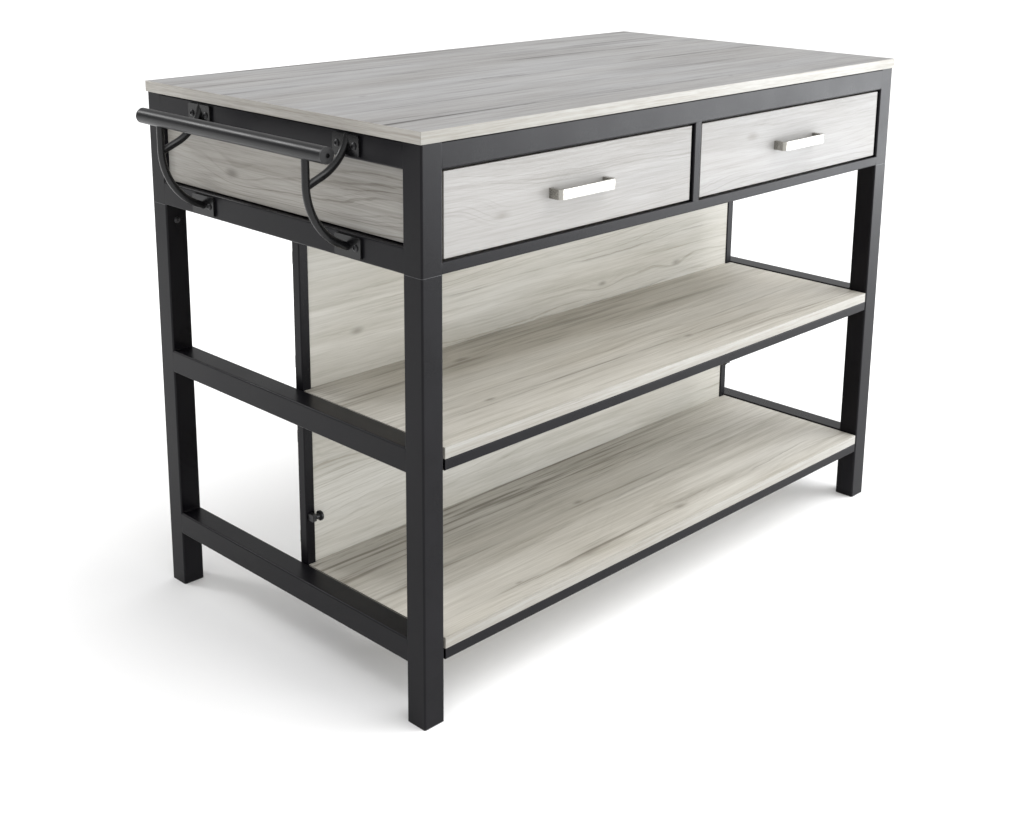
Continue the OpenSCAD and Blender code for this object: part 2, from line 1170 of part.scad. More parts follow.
// Place of the screw in a strap behind a back panel
module strap_screw_place() {
    translate([-tab_w / 2, tab_t, 0]) {
        rotate([90, 0, 0]) {
            children();
        }
    }
}

module back_strap() {
    difference() {
        block([-tab_w, 0, -tab_w / 2], [slim - slim_r, tab_t, tab_w / 2]);
        strap_screw_place() {
            hole(screw_d, tab_t + poke);
        }
    }
}

module steel_tabs() {
    in_place(steel) {
        at_top_tabs() {
            top_tab();
        }
        at_left_panel_tabs() {
            panel_tab();
        }
        at_right_panel_tabs() {
            panel_tab();
        }
        at_rear_panel_tabs() {
            panel_tab();
        }
        at_centre_tabs() {
            centre_tab();
        }
        at_back_straps(concat(upper_strap_levels, lower_strap_levels)) {
            back_strap();
        }
    }
}

module panel_tab_screw() {
    translate([0, -tab_t, tab_w / 2]) {
        along_y() {
            screw(tab_screw_len);
        }
    }
}

// Screw whose flat head lies flush in the wall of a slide
module flush_screw() {
    cylinder(d = screw_d, h = slide_screw_len);
    translate([0, 0, -slide_wall]) {
        cylinder(d = screw_head_d, h = slide_wall);
    }
}

module wood_screws() {
    in_place(zinc) {
        at_top_tabs() {
            translate([0, tab_w / 2 + tab_t, -tab_t]) {
                screw(tab_screw_len);
            }
        }
        at_left_panel_tabs() {
            panel_tab_screw();
        }
        at_right_panel_tabs() {
            panel_tab_screw();
        }
        at_rear_panel_tabs() {
            panel_tab_screw();
        }
        at_centre_tabs() {
            centre_tab_screw_place() {
                screw(tab_screw_len);
            }
        }
        at_back_straps(concat(upper_strap_levels, lower_strap_levels)) {
            strap_screw_place() {
                screw(tab_screw_len);
            }
        }
        for (side = sides) {
            at_runner_screws(side) {
                screw(runner_screw_len);
            }
            at_slide_screws(side) {
                flush_screw();
            }
        }
        for (top = shelf_tops) {
            at_shelf_screws(top) {
                screw(shelf_screw_len);
            }
        }
    }
}

module frame_bolts() {
    in_place(steel) {
        at_leg_bolts() {
            bolt(leg_bolt_len);
        }
        at_shelf_bolts() {
            bolt(shelf_bolt_len);
        }
        at_post_bolts() {
            bolt(post_bolt_len);
        }
        at_towel_bolts() {
            bolt(towel_bolt_len);
        }
    }
}

// ---------------------------------------------------------------- towel bar

module towel_bar() {
    in_place(steel) {
        translate([-half_w - bar_reach, -bar_len / 2 + cap_t, bar_z]) {
            along_y() {
                difference() {
                    cylinder(d = bar_d, h = bar_len - 2 * cap_t);
                    translate([0, 0, -poke]) {
                        cylinder(d = bar_d - 2 * bar_wall, h = bar_len);
                    }
                }
            }
        }
    }
}

// Domed caps in the ends of the bar, each with a hexagon socket
module towel_bar_caps() {
    plug_d = bar_d - 2 * bar_wall - 2 * sleeve_gap;
    in_place(black_plastic) {
        for (end = sides) {
            translate([-half_w - bar_reach, end * (bar_len / 2 - cap_t), bar_z]) {
                rotate([-90 * end, 0, 0]) {
                    difference() {
                        union() {
                            domed_disc(bar_d, cap_t, cap_rise);
                            translate([0, 0, -cap_plug_len]) {
                                cylinder(d = plug_d, h = cap_plug_len + poke);
                            }
                        }
                        translate([0, 0, -poke]) {
                            cylinder(d = cap_socket_d, h = cap_t + 2 * poke, $fn = 6);
                        }
                    }
                }
            }
        }
    }
}

// Rod bent through an angle, in the XY plane, from the X axis on
module bent_rod(r, turn) {
    rotate_extrude(angle = turn) {
        translate([r, 0]) {
            circle(d = rod_d);
        }
    }
}

// Rod straight up from a point in the XY plane, leaning the given angle toward -X. Its foot is
// let into the end of a bend, a hair thinner than the bend.
module straight_rod(from, lean, len) {
    translate([from[0], from[1], 0]) {
        rotate([0, 0, lean]) {
            translate([0, -rod_let, 0]) {
                along_y() {
                    cylinder(d = rod_d - rod_step, h = len + rod_let);
                }
            }
        }
    }
}

// Both rods of a bracket, with X out from the frame and Y up. The main rod drops from the bar
// and curls in to the bottom rail; the branch rod leaves the top rail and runs into it.
module bracket_rods() {
    main_centre = [bar_reach - main_bend_r, main_bend_z];
    branch_start = [plate_t, top_rail_z];
    branch_end = branch_lean + branch_turn;
    toward_start = [cos(branch_lean), sin(branch_lean)];
    toward_end = [cos(branch_end), sin(branch_end)];
    branch_centre = branch_start + branch_bend_r * toward_start;
    join = branch_centre - branch_bend_r * toward_end;
    run = (bar_reach - join[0]) / sin(branch_end);
    difference() {
        union() {
            straight_rod([bar_reach, main_bend_z], 0, bar_z - main_bend_z);
            translate([main_centre[0], main_centre[1], 0]) {
                rotate([0, 0, -main_turn - past_angle]) {
                    bent_rod(main_bend_r, main_turn + past_angle);
                }
            }
            translate([branch_centre[0], branch_centre[1], 0]) {
                rotate([0, 0, 180 + branch_lean - 2 * past_angle]) {
                    bent_rod(branch_bend_r, branch_turn + 2 * past_angle);
                }
            }
            straight_rod(join, 180 + branch_end, run);
        }
        translate([plate_t - weld_depth - apron_h, bottom_rail_z - apron_h, -rod_d]) {
            cube([apron_h, 3 * apron_h, 2 * rod_d]);
        }
        translate([bar_reach, bar_z, 0]) {
            cylinder(d = bar_d, h = 2 * rod_d, center = true);
        }
    }
}

// Plate of a bracket on the frame's left face, with its two bolt holes
module bracket_plate(z) {
    translate([-half_w - plate_t, 0, z]) {
        along_x() {
            difference() {
                linear_extrude(plate_t) {
                    round_rect(plate_h, plate_w, plate_r);
                }
                for (step = sides) {
                    translate([0, step * plate_pitch / 2, 0]) {
                        hole(plain_hole_d, plate_t + poke);
                    }
                }
            }
        }
    }
}

module towel_bracket(y) {
    in_place(steel) {
        translate([0, y, 0]) {
            translate([-half_w, 0, 0]) {
                mirror([1, 0, 0]) {
                    rotate([90, 0, 0]) {
                        bracket_rods();
                    }
                }
            }
            bracket_plate(top_rail_z);
            bracket_plate(bottom_rail_z);
        }
    }
}

module front_towel_bracket() {
    towel_bracket(-bracket_y);
}

module rear_towel_bracket() {
    towel_bracket(bracket_y);
}

// ---------------------------------------------------------------- drawer slides

// Section of a lipped channel that opens toward +X, about the X axis
module lipped_channel(base, depth, half_h) {
    lip = 2 * slide_wall;
    translate([base, -half_h]) {
        square([slide_wall, 2 * half_h]);
    }
    for (turn = [0, 1]) {
        mirror([0, turn]) {
            translate([base, half_h - slide_wall]) {
                square([depth, slide_wall]);
            }
            translate([base + depth - slide_wall, half_h - lip]) {
                square([slide_wall, lip]);
            }
        }
    }
}

// Step from one slide member to the next, and the outer member's depth
slide_step = slide_wall + slide_gap;
outer_depth = slide_w - slide_open_gap;

module outer_section() {
    lipped_channel(0, outer_depth, slide_h / 2);
}

module middle_section() {
    lipped_channel(slide_step, outer_depth - 2 * slide_step, slide_h / 2 - slide_step);
}

// The inner member's back lies on the drawer box, and its hooks run behind the middle's lips
module inner_section() {
    hook_y = slide_h / 2 - 2 * slide_step;
    leg_y = hook_y - slide_wall;
    translate([slide_w - slide_wall, -leg_y]) {
        square([slide_wall, 2 * leg_y]);
    }
    for (turn = [0, 1]) {
        mirror([0, turn]) {
            translate([2 * slide_step, leg_y - slide_wall]) {
                square([slide_w - 2 * slide_step, slide_wall]);
            }
            translate([2 * slide_step, leg_y - slide_wall]) {
                square([slide_wall, 2 * slide_wall]);
            }
        }
    }
}

// Child section run along both slides of a drawer
module slide_pair(side) {
    mirror([(1 - side) / 2, 0, 0]) {
        translate([in_x - runner_t, runner_front, slide_z]) {
            mirror([1, 0, 0]) {
                rotate([90, 0, 0]) {
                    mirror([0, 0, 1]) {
                        linear_extrude(slide_len) {
                            children();
                        }
                    }
                }
            }
        }
        translate([centre_half, runner_front, slide_z]) {
            rotate([90, 0, 0]) {
                mirror([0, 0, 1]) {
                    linear_extrude(slide_len) {
                        children();
                    }
                }
            }
        }
    }
}

module slide_outers() {
    in_place(zinc) {
        for (side = sides) {
            difference() {
                slide_pair(side) {
                    outer_section();
                }
                at_slide_screws(side) {
                    translate([0, 0, -slide_wall]) {
                        cylinder(d = screw_head_d, h = slide_wall + poke);
                    }
                }
            }
        }
    }
}

module slide_middles(side) {
    in_place(zinc) {
        slide_pair(side) {
            middle_section();
        }
    }
}

module slide_inners(side) {
    in_place(zinc) {
        difference() {
            slide_pair(side) {
                inner_section();
            }
            at_box_screws(side) {
                hole(screw_d, slide_wall + poke);
            }
        }
    }
}

module left_slide_middles() {
    slide_middles(-1);
}

module right_slide_middles() {
    slide_middles(1);
}

module left_slide_inners() {
    slide_inners(-1);
}

module right_slide_inners() {
    slide_inners(1);
}

// ---------------------------------------------------------------- drawers

module drawer_front(side) {
    in_place(wood) {
        difference() {
            translate([side * front_x, front_back_face - front_t / 2, front_z]) {
                cube([front_w, front_t, front_h], center = true);
            }
            at_front_screws(side) {
                hole(screw_d, front_screw_len);
            }
            at_pull_screws(side) {
                hole(screw_d, pull_screw_len);
            }
        }
    }
}

// Two long sides with the front and rear boards between them, all grooved for the bottom
module drawer_box(side) {
    rear = front_back_face + box_depth;
    in_place(box_wood) {
        difference() {
            mirror([(1 - side) / 2, 0, 0]) {
                for (x = [box_in, box_out - box_t]) {
                    block([x, front_back_face, box_low], [x + box_t, rear, box_low + box_h]);
                }
                for (y = [front_back_face, rear - box_t]) {
                    block([box_in + box_t + glue_gap, y, box_low],
                        [box_out - box_t - glue_gap, y + box_t, box_low + box_h]);
                }
            }
            drawer_bottom_slab(side, 0);
            at_box_screws(side) {
                hole(screw_d, box_screw_len);
            }
            at_front_screws(side) {
                hole(screw_d, front_screw_len);
            }
            at_pull_screws(side) {
                hole(screw_d, pull_screw_len);
            }
        }
    }
}

// Slab that fills the grooves of a drawer box, less the given gap at its edges
module drawer_bottom_slab(side, gap) {
    edge = box_t - groove + gap;
    rear = front_back_face + box_depth;
    z = box_low + bottom_rise;
    mirror([(1 - side) / 2, 0, 0]) {
        block([box_in + edge, front_back_face + edge, z], [box_out - edge, rear - edge, z + bottom_t]);
    }
}

module drawer_bottom(side) {
    in_place(box_wood) {
        drawer_bottom_slab(side, board_gap);
    }
}

// Flat bar bent round to two feet on the drawer front
module drawer_pull(side) {
    inner_r = pull_r - pull_grip + pull_fill;
    in_place(nickel) {
        translate([side * front_x, front_back_face - front_t, front_z]) {
            difference() {
                translate([0, 0, -pull_h / 2]) {
                    linear_extrude(pull_h) {
                        difference() {
                            round_rect(pull_len, 2 * pull_reach, pull_r);
                            round_rect(pull_len - 2 * pull_foot, 2 * (pull_reach - pull_grip), inner_r);
                            translate([-pull_len, 0]) {
                                square([2 * pull_len, 2 * pull_reach]);
                            }
                        }
                    }
                }
                translate([-side * front_x, front_t - front_back_face, -front_z]) {
                    at_pull_screws(side) {
                        hole(screw_d, pull_screw_len);
                    }
                }
            }
        }
    }
}

module drawer_screws(side) {
    in_place(zinc) {
        at_box_screws(side) {
            screw(box_screw_len);
        }
        at_front_screws(side) {
            screw(front_screw_len);
        }
        at_pull_screws(side) {
            screw(pull_screw_len);
        }
    }
}

module left_drawer_front() {
    drawer_front(-1);
}

module right_drawer_front() {
    drawer_front(1);
}

module left_drawer_box() {
    drawer_box(-1);
}

module right_drawer_box() {
    drawer_box(1);
}

module left_drawer_bottom() {
    drawer_bottom(-1);
}

module right_drawer_bottom() {
    drawer_bottom(1);
}

module left_drawer_pull() {
    drawer_pull(-1);
}

module right_drawer_pull() {
    drawer_pull(1);
}

module left_drawer_screws() {
    drawer_screws(-1);
}

module right_drawer_screws() {
    drawer_screws(1);
}

worktop();
edge_strips();
corner_posts();
front_top_rail();
rear_top_rail();
left_top_rail();
right_top_rail();
front_bottom_rail();
rear_bottom_rail();
left_bottom_rail();
right_bottom_rail();
mullion();
left_apron_panel();
right_apron_panel();
rear_apron_panel();
left_runner_board();
right_runner_board();
centre_runner_board();
front_left_leg();
front_right_leg();
rear_left_leg();
rear_right_leg();
left_side_rails();
right_side_rails();
leg_sleeves();
foot_glides();
mid_shelf();
low_shelf();
shelf_front_rails();
shelf_rear_rails();
shelf_end_rails();
shelf_spacers();
left_back_post();
right_back_post();
upper_back_panel();
lower_back_panel();
panel_studs();
steel_tabs();
frame_bolts();
wood_screws();
towel_bar();
towel_bar_caps();
front_towel_bracket();
rear_towel_bracket();
slide_outers();
left_slide_middles();
right_slide_middles();
left_slide_inners();
right_slide_inners();
left_drawer_front();
left_drawer_box();
left_drawer_bottom();
left_drawer_pull();
left_drawer_screws();
right_drawer_front();
right_drawer_box();
right_drawer_bottom();
right_drawer_pull();
right_drawer_screws();
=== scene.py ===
"""Looks of a free-standing kitchen island: a charcoal steel frame with grey-washed oak boards.

Lengths are in metres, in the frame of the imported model: +X to the right, -Y to the front, +Z up.
"""
import math
import random

import bmesh
import bpy
from mathutils import Matrix, Vector


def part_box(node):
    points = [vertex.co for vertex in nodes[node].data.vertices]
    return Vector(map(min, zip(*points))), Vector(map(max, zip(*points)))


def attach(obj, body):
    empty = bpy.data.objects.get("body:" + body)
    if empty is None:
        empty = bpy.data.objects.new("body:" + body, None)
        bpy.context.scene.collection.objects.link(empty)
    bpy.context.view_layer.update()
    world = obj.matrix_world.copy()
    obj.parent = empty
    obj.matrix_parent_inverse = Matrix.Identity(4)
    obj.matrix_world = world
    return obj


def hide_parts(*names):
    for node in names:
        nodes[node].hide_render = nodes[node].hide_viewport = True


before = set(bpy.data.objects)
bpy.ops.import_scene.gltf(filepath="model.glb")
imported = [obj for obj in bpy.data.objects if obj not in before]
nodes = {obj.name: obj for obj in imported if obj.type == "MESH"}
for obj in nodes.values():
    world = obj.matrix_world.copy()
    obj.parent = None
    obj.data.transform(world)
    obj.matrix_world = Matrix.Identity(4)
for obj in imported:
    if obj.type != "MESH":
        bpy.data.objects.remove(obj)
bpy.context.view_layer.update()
random.seed(31)

MM = 0.001

# ---------------------------------------------------------------- camera and light: values

IMAGE_W = 1024
SENSOR_W = 36.0
NEAREST = 0.01
# Where the camera stands and how it is turned, in metres and degrees
EYE = Vector((-1.846, -1.752, 1.243))
HEADING = 45.6
TILT = -13.9
ROLL = 0.5
FOCAL_PIXELS = 1421.9
# How far the picture is shifted down, so that the camera needs less tilt
SHIFT_DOWN = 0.175

# Strength of the studio's light on its dark side and on its bright side, which lies this way. It is fully
# bright where the cosine of the angle to that way is over SKY_BLEND, and fully dark under minus that.
SKY_DARK = 0.36
SKY_BRIGHT = 1.22
SKY_TOWARDS = (0.45, -0.75, 0.50)
SKY_BLEND = 0.75
# Point that the softboxes face
MIDDLE = Vector((0.0, 0.0, 0.45))
# Half the side of the floor
FLOOR_REACH = 30.0

# ---------------------------------------------------------------- sizes

# Gap between a board and the tube it is fitted to
BOARD_GAP = 0.5 * MM
# Corner radii of the main tube and of the slim tube
TUBE_R = 3.0 * MM
SLIM_R = 2.0 * MM

# Rounding of the arrises of the panels, of the boards under edging, of the edging and of the pulls
PANEL_ARRIS = 0.6 * MM
HIDDEN_ARRIS = 0.1 * MM
STRIP_ARRIS = 0.4 * MM
PULL_ARRIS = 0.6 * MM

# A ground weld lies this far under the faces beside it, starts this far back on its rail, and is this much
# longer than the round corner that it fills
WELD_SKIN = 0.03 * MM
WELD_BACK = 0.2 * MM
WELD_PAST = 0.3 * MM
# A weld bead: its length, the size of its cross-section and how uneven that is, how far out its hollow face
# stands as a share of its size, how deep it is sunk into the faces, and how many steps it is made of
BEAD_LENGTH = 34.0 * MM
BEAD_SIZE = 3.0 * MM
BEAD_UNEVEN = 0.1
BEAD_HOLLOW = 0.36
BEAD_SINK = 0.3 * MM
BEAD_STEPS = 12
# The cut rim at the top of a leg: how far it stands proud of the leg, how far under the cut it starts, and
# its height
RIM_PROUD = 0.12 * MM
RIM_UNDER = 0.3 * MM
RIM_HEIGHT = 0.6 * MM

# ---------------------------------------------------------------- figure of the wood

# Turns that bring each grain direction onto the X axis of the texture
GRAIN_TURN = {"X": (0, 0, 0), "Y": (0, 0, -math.pi / 2)}
# How far each step of the seed moves a board through the noise, for the oak and for its edging
OAK_SEED_STEP = (1.37, 0.71, 0.43)
EDGE_SEED_STEP = (0.9, 1.7, 0.3)

# Width of the staves that the wood is printed as, how far their joints wander along a board, and how ragged
# they are
STAVE = 0.093
STAVE_WANDER = 0.15
STAVE_RAGGED = 0.005
# How far the joints shift with each step of the seed, in staves, and how steeply a stave's tone fades from
# its one side
STAVE_SEED_STEP = 0.37
STAVE_FADE_POWER = 2.6
# Soot is darkest this near to a joint, and ends this far from it
SOOT_CORE = 0.4 * MM
SOOT_REACH = 5.0 * MM
# How far the stripes wander and how ragged they are
STRIPE_WANDER = 0.030
STRIPE_RAGGED = 0.009
# How far the grain lines sway, and how many lines apart the staves can start their count
GRAIN_SWAY = 0.13
GRAIN_START = 40.0
# A knot: how ragged its rim is, how far its dark reaches, how far the grain round it is pushed aside, and how
# far off that ends, all in shares of its size
KNOT_RAGGED = 0.35
KNOT_REACH = 0.75
KNOT_PUSH = 1.1
KNOT_PUSH_REACH = 3.0
# How dark its middle is, and how much a length along the grain counts, which draws it out that way
KNOT_DARK = 0.55
KNOT_ALONG = 0.4

# ---------------------------------------------------------------- colours


def rgb(r, g, b):
    return (r, g, b, 1.0)


# Oak: its wash, its bare tone and its soot, which also paints the shade stripes. All boards are one oak
# finish. Besides its figure, each board's tones are set lighter or darker as painted light and shade: the
# shelves and back panels lighter, and the top, the drawer fronts and the apron panels darker.
OAK_TOP = (rgb(0.350, 0.350, 0.353), rgb(0.155, 0.147, 0.141), rgb(0.055, 0.051, 0.048))
OAK_SHELF = (rgb(0.61, 0.594, 0.55), rgb(0.27, 0.250, 0.208), rgb(0.13, 0.116, 0.090))
OAK_BACK = (rgb(0.57, 0.56, 0.52), rgb(0.29, 0.275, 0.230), rgb(0.15, 0.138, 0.112))
OAK_FRONT = (rgb(0.354, 0.350, 0.346), rgb(0.205, 0.197, 0.180), rgb(0.19, 0.178, 0.158))
OAK_SIDE = (rgb(0.37, 0.360, 0.338), rgb(0.125, 0.112, 0.093), rgb(0.075, 0.064, 0.055))
# Tint that the wash takes in places
BLUSH = rgb(1.0, 0.990, 0.972)
# Edging: its light tone and its dark tone. It is one finish. The light tone of the set along Y, on the ends,
# is set lighter than along X as painted light, and its darker dark tone is the grain's own.
EDGE_ALONG_X = (rgb(0.365, 0.360, 0.335), rgb(0.235, 0.215, 0.180))
EDGE_ALONG_Y = (rgb(0.46, 0.445, 0.415), rgb(0.21, 0.185, 0.150))
# Metals
STEEL = (0.0042, 0.0039, 0.0053)
BRACKET = (0.0030, 0.0030, 0.0034)
GUNMETAL = (0.005, 0.005, 0.006)
# Paler steel of the joint rims: a painted highlight
RIM_HIGHLIGHT_STEEL = (0.055, 0.055, 0.060)
ZINC = (0.60, 0.61, 0.62)
NICKEL = (0.36, 0.35, 0.32)

# ---------------------------------------------------------------- marks in the wood, and painted shade

# A knot is its place on the board's face, along the board's own two axes, and its size. A stripe is its y,
# its half width and soft edge in mm, its strength and, where it fades out, the x at which its fade starts
# and ends. Each board has a seed for its figure, and then its knots and stripes.
TOP_SEED = 1
TOP_KNOT_SIZE = 0.007
TOP_KNOTS = ((-0.487, -0.256), (-0.298, -0.261), (0.216, -0.271), (0.393, -0.252), (-0.425, -0.029))
TOP_STRIPES = (
    (-0.262, 2, 8, 0.70),
    (-0.236, 2, 5, 0.34),
    (-0.150, 1, 4, 0.26),
    (-0.018, 3, 9, 0.60),
    (0.060, 1, 5, 0.24),
    (0.132, 4, 12, 0.66),
    (0.176, 2, 8, 0.34),
    (0.222, 2, 7, 0.42),
    (0.345, 6, 20, 0.50),
    # This wide band is painted shade over the rear of the top. It is strongest on the right and fades out to
    # the left.
    (0.240, 70, 90, 0.20, 0.6, -0.2),
)
# On each shelf the last, wide stripe darkens the rear. It is partly a darker stave and partly painted shade
# towards the back panel, and it fades out to the right.
SHELVES = {
    "mid_shelf": (
        4,
        ((0.144, -0.255, 0.012), (-0.348, -0.238, 0.011), (-0.247, -0.066, 0.016)),
        ((-0.251, 4, 12, 0.50, 0.1, 0.5), (-0.092, 6, 20, 0.40, 0.2, 0.6), (-0.030, 40, 30, 0.28, 0.1, 0.5)),
    ),
    "low_shelf": (
        7,
        ((-0.032, -0.151, 0.012), (0.09, -0.293, 0.016), (-0.33, -0.291, 0.008)),
        ((-0.287, 4, 12, 0.52, 0.0, 0.4), (-0.160, 5, 12, 0.28, 0.1, 0.5), (-0.040, 45, 30, 0.48, 0.1, 0.5)),
    ),
}
BACK_PANELS = {
    "upper_back_panel": (11, ((0.431, 0.479, 0.012), (0.199, 0.479, 0.010), (-0.42, 0.52, 0.012))),
    "lower_back_panel": (13, ((-0.36, 0.31, 0.014), (0.30, 0.22, 0.010))),
}
# Each of these has one knot, given by its whole place. The first value is the way of the grain.
APRON_PANELS = {
    "left_apron_panel": ("Y", 17, (-0.5667, 0.129, 0.787)),
    "right_apron_panel": ("Y", 19, (0.6533, -0.10, 0.79)),
    "rear_apron_panel": ("X", 23, (0.22, 0.343, 0.80)),
}
APRON_KNOT_SIZE = 0.015
# One knot on each drawer front, at this x and z
DRAWER_FRONTS = {"left": (29, (-0.417, 0.772)), "right": (37, (0.205, 0.814))}
FRONT_KNOT_SIZE = 0.014


# ---------------------------------------------------------------- camera

def make_camera():
    data = bpy.data.cameras.new("camera")
    data.sensor_width = SENSOR_W
    data.lens = SENSOR_W * FOCAL_PIXELS / IMAGE_W
    data.shift_y = -SHIFT_DOWN
    data.clip_start = NEAREST
    camera = bpy.data.objects.new("camera", data)
    bpy.context.scene.collection.objects.link(camera)
    heading, tilt, roll = (math.radians(angle) for angle in (HEADING, TILT, ROLL))
    level = math.cos(tilt)
    ahead = Vector((math.sin(heading) * level, math.cos(heading) * level, math.sin(tilt)))
    right = ahead.cross(Vector((0, 0, 1))).normalized()
    up = right.cross(ahead)
    turned_right = right * math.cos(roll) + up * math.sin(roll)
    turned_up = up * math.cos(roll) - right * math.sin(roll)
    turn = Matrix((turned_right, turned_up, -ahead)).transposed()
    camera.matrix_world = Matrix.Translation(EYE) @ turn.to_4x4()
    bpy.context.scene.camera = camera


# ---------------------------------------------------------------- light and floor

def place_light(name, data, ahead, at=(0.0, 0.0, 0.0)):
    light = bpy.data.objects.new(name, data)
    bpy.context.scene.collection.objects.link(light)
    light.location = at
    light.rotation_euler = Vector(ahead).to_track_quat("-Z", "Y").to_euler()


def softbox(name, at, size, watts, colour=(1.0, 1.0, 1.0)):
    data = bpy.data.lights.new(name, "AREA")
    data.shape = "RECTANGLE"
    data.size, data.size_y = size
    data.energy = watts
    data.color = colour
    place_light(name, data, MIDDLE - Vector(at), at)


def soft_sun(name, strength, angle, ahead):
    data = bpy.data.lights.new(name, "SUN")
    data.energy = strength
    data.angle = math.radians(angle)
    place_light(name, data, ahead)


def make_sky():
    """White surroundings that are brighter on one side."""
    world = bpy.data.worlds.new("studio")
    world.use_nodes = True
    tree = world.node_tree
    direction = tree.nodes.new("ShaderNodeTexCoord").outputs["Generated"]
    facing = tree.nodes.new("ShaderNodeVectorMath")
    facing.operation = "DOT_PRODUCT"
    facing.inputs[1].default_value = Vector(SKY_TOWARDS).normalized()
    grade = tree.nodes.new("ShaderNodeMapRange")
    grade.interpolation_type = "SMOOTHSTEP"
    grade.inputs["From Min"].default_value = -SKY_BLEND
    grade.inputs["From Max"].default_value = SKY_BLEND
    grade.inputs["To Min"].default_value = SKY_DARK
    grade.inputs["To Max"].default_value = SKY_BRIGHT
    background = tree.nodes["Background"]
    background.inputs["Color"].default_value = rgb(1.0, 1.0, 1.0)
    tree.links.new(direction, facing.inputs[0])
    tree.links.new(facing.outputs["Value"], grade.inputs["Value"])
    tree.links.new(grade.outputs[0], background.inputs["Strength"])
    bpy.context.scene.world = world


def make_light():
    make_sky()
    softbox("key", at=(2.80, -2.45, 0.75), size=(2.7, 1.4), watts=98, colour=(0.95, 0.97, 1.0))
    softbox("rim", at=(-1.9, 3.2, 3.0), size=(0.8, 0.9), watts=44)
    soft_sun("overhead", strength=1.55, angle=46, ahead=(-0.42, 0.50, -1.0))
    bpy.context.scene.view_settings.view_transform = "Standard"


def make_floor():
    far = FLOOR_REACH
    mesh = bpy.data.meshes.new("floor")
    mesh.from_pydata([(-far, -far, 0), (far, -far, 0), (far, far, 0), (-far, far, 0)], [], [(0, 1, 2, 3)])
    mesh.materials.append(floor_paint())
    floor = bpy.data.objects.new("floor", mesh)
    bpy.context.scene.collection.objects.link(floor)


# ---------------------------------------------------------------- node shorthand

class Paint:
    """A material whose node tree is built by short calls. A value that is a socket is linked."""

    def __init__(self, name):
        self.material = bpy.data.materials.new(name)
        self.material.use_nodes = True
        self.tree = self.material.node_tree
        self.shader = self.tree.nodes["Principled BSDF"]
        self.place = self.add("ShaderNodeTexCoord").outputs["Object"]

    def put(self, socket, value):
        if isinstance(value, bpy.types.NodeSocket):
            self.tree.links.new(value, socket)
        else:
            socket.default_value = value

    def add(self, kind, inputs=None, **settings):
        node = self.tree.nodes.new(kind)
        for key, value in settings.items():
            setattr(node, key, value)
        for key, value in (inputs or {}).items():
            self.put(node.inputs[key], value)
        return node

    def math(self, operation, *values):
        node = self.add("ShaderNodeMath", dict(enumerate(values)), operation=operation)
        return node.outputs[0]

    def product(self, first, *others):
        for other in others:
            first = self.math("MULTIPLY", first, other)
        return first

    def mapped(self, vector, scale=(1, 1, 1), move=(0, 0, 0), turn=(0, 0, 0)):
        inputs = {"Vector": vector, "Scale": scale, "Location": move, "Rotation": turn}
        return self.add("ShaderNodeMapping", inputs).outputs[0]

    def noise(self, vector, detail=2.0, roughness=0.5, scale=1.0):
        """Noise of 0 to 1, mostly 0.3 to 0.7. scale is how many of its cells lie in a metre."""
        inputs = {"Vector": vector, "Scale": scale, "Detail": detail, "Roughness": roughness}
        return self.add("ShaderNodeTexNoise", inputs).outputs[0]

    def noise_line(self, w, detail, roughness):
        """Noise along a line, which depends on one number."""
        inputs = {"W": w, "Scale": 1.0, "Detail": detail, "Roughness": roughness}
        return self.add("ShaderNodeTexNoise", inputs, noise_dimensions="1D").outputs[0]

    def spread(self, value, low=0.3, high=0.7, to_low=0.0, to_high=1.0):
        """Smooth step from to_low, where the value is low, to to_high, where it is high."""
        inputs = {"Value": value, "From Min": low, "From Max": high, "To Min": to_low, "To Max": to_high}
        return self.add("ShaderNodeMapRange", inputs, interpolation_type="SMOOTHSTEP").outputs[0]

    def mix(self, factor, first, second, blend="MIX"):
        node = self.add("ShaderNodeMix", data_type="RGBA", blend_type=blend)
        for socket, value in zip((node.inputs[0], node.inputs[6], node.inputs[7]), (factor, first, second)):
            self.put(socket, value)
        return node.outputs[2]

    def bump(self, height, distance, strength, under=None):
        inputs = {"Height": height, "Distance": distance, "Strength": strength}
        if under is not None:
            inputs["Normal"] = under
        return self.add("ShaderNodeBump", inputs).outputs[0]

    def finish(self, **values):
        for key, value in values.items():
            self.put(self.shader.inputs[key.replace("_", " ")], value)
        return self.material


def shaded(colour, factor):
    return rgb(*(factor * channel for channel in colour))


# ---------------------------------------------------------------- oak

def wood_place(point, grain):
    """A point as the wood's material counts it: along the grain, and across it."""
    x, y, z = point
    return (x, y + z) if grain == "X" else (y, z - x)


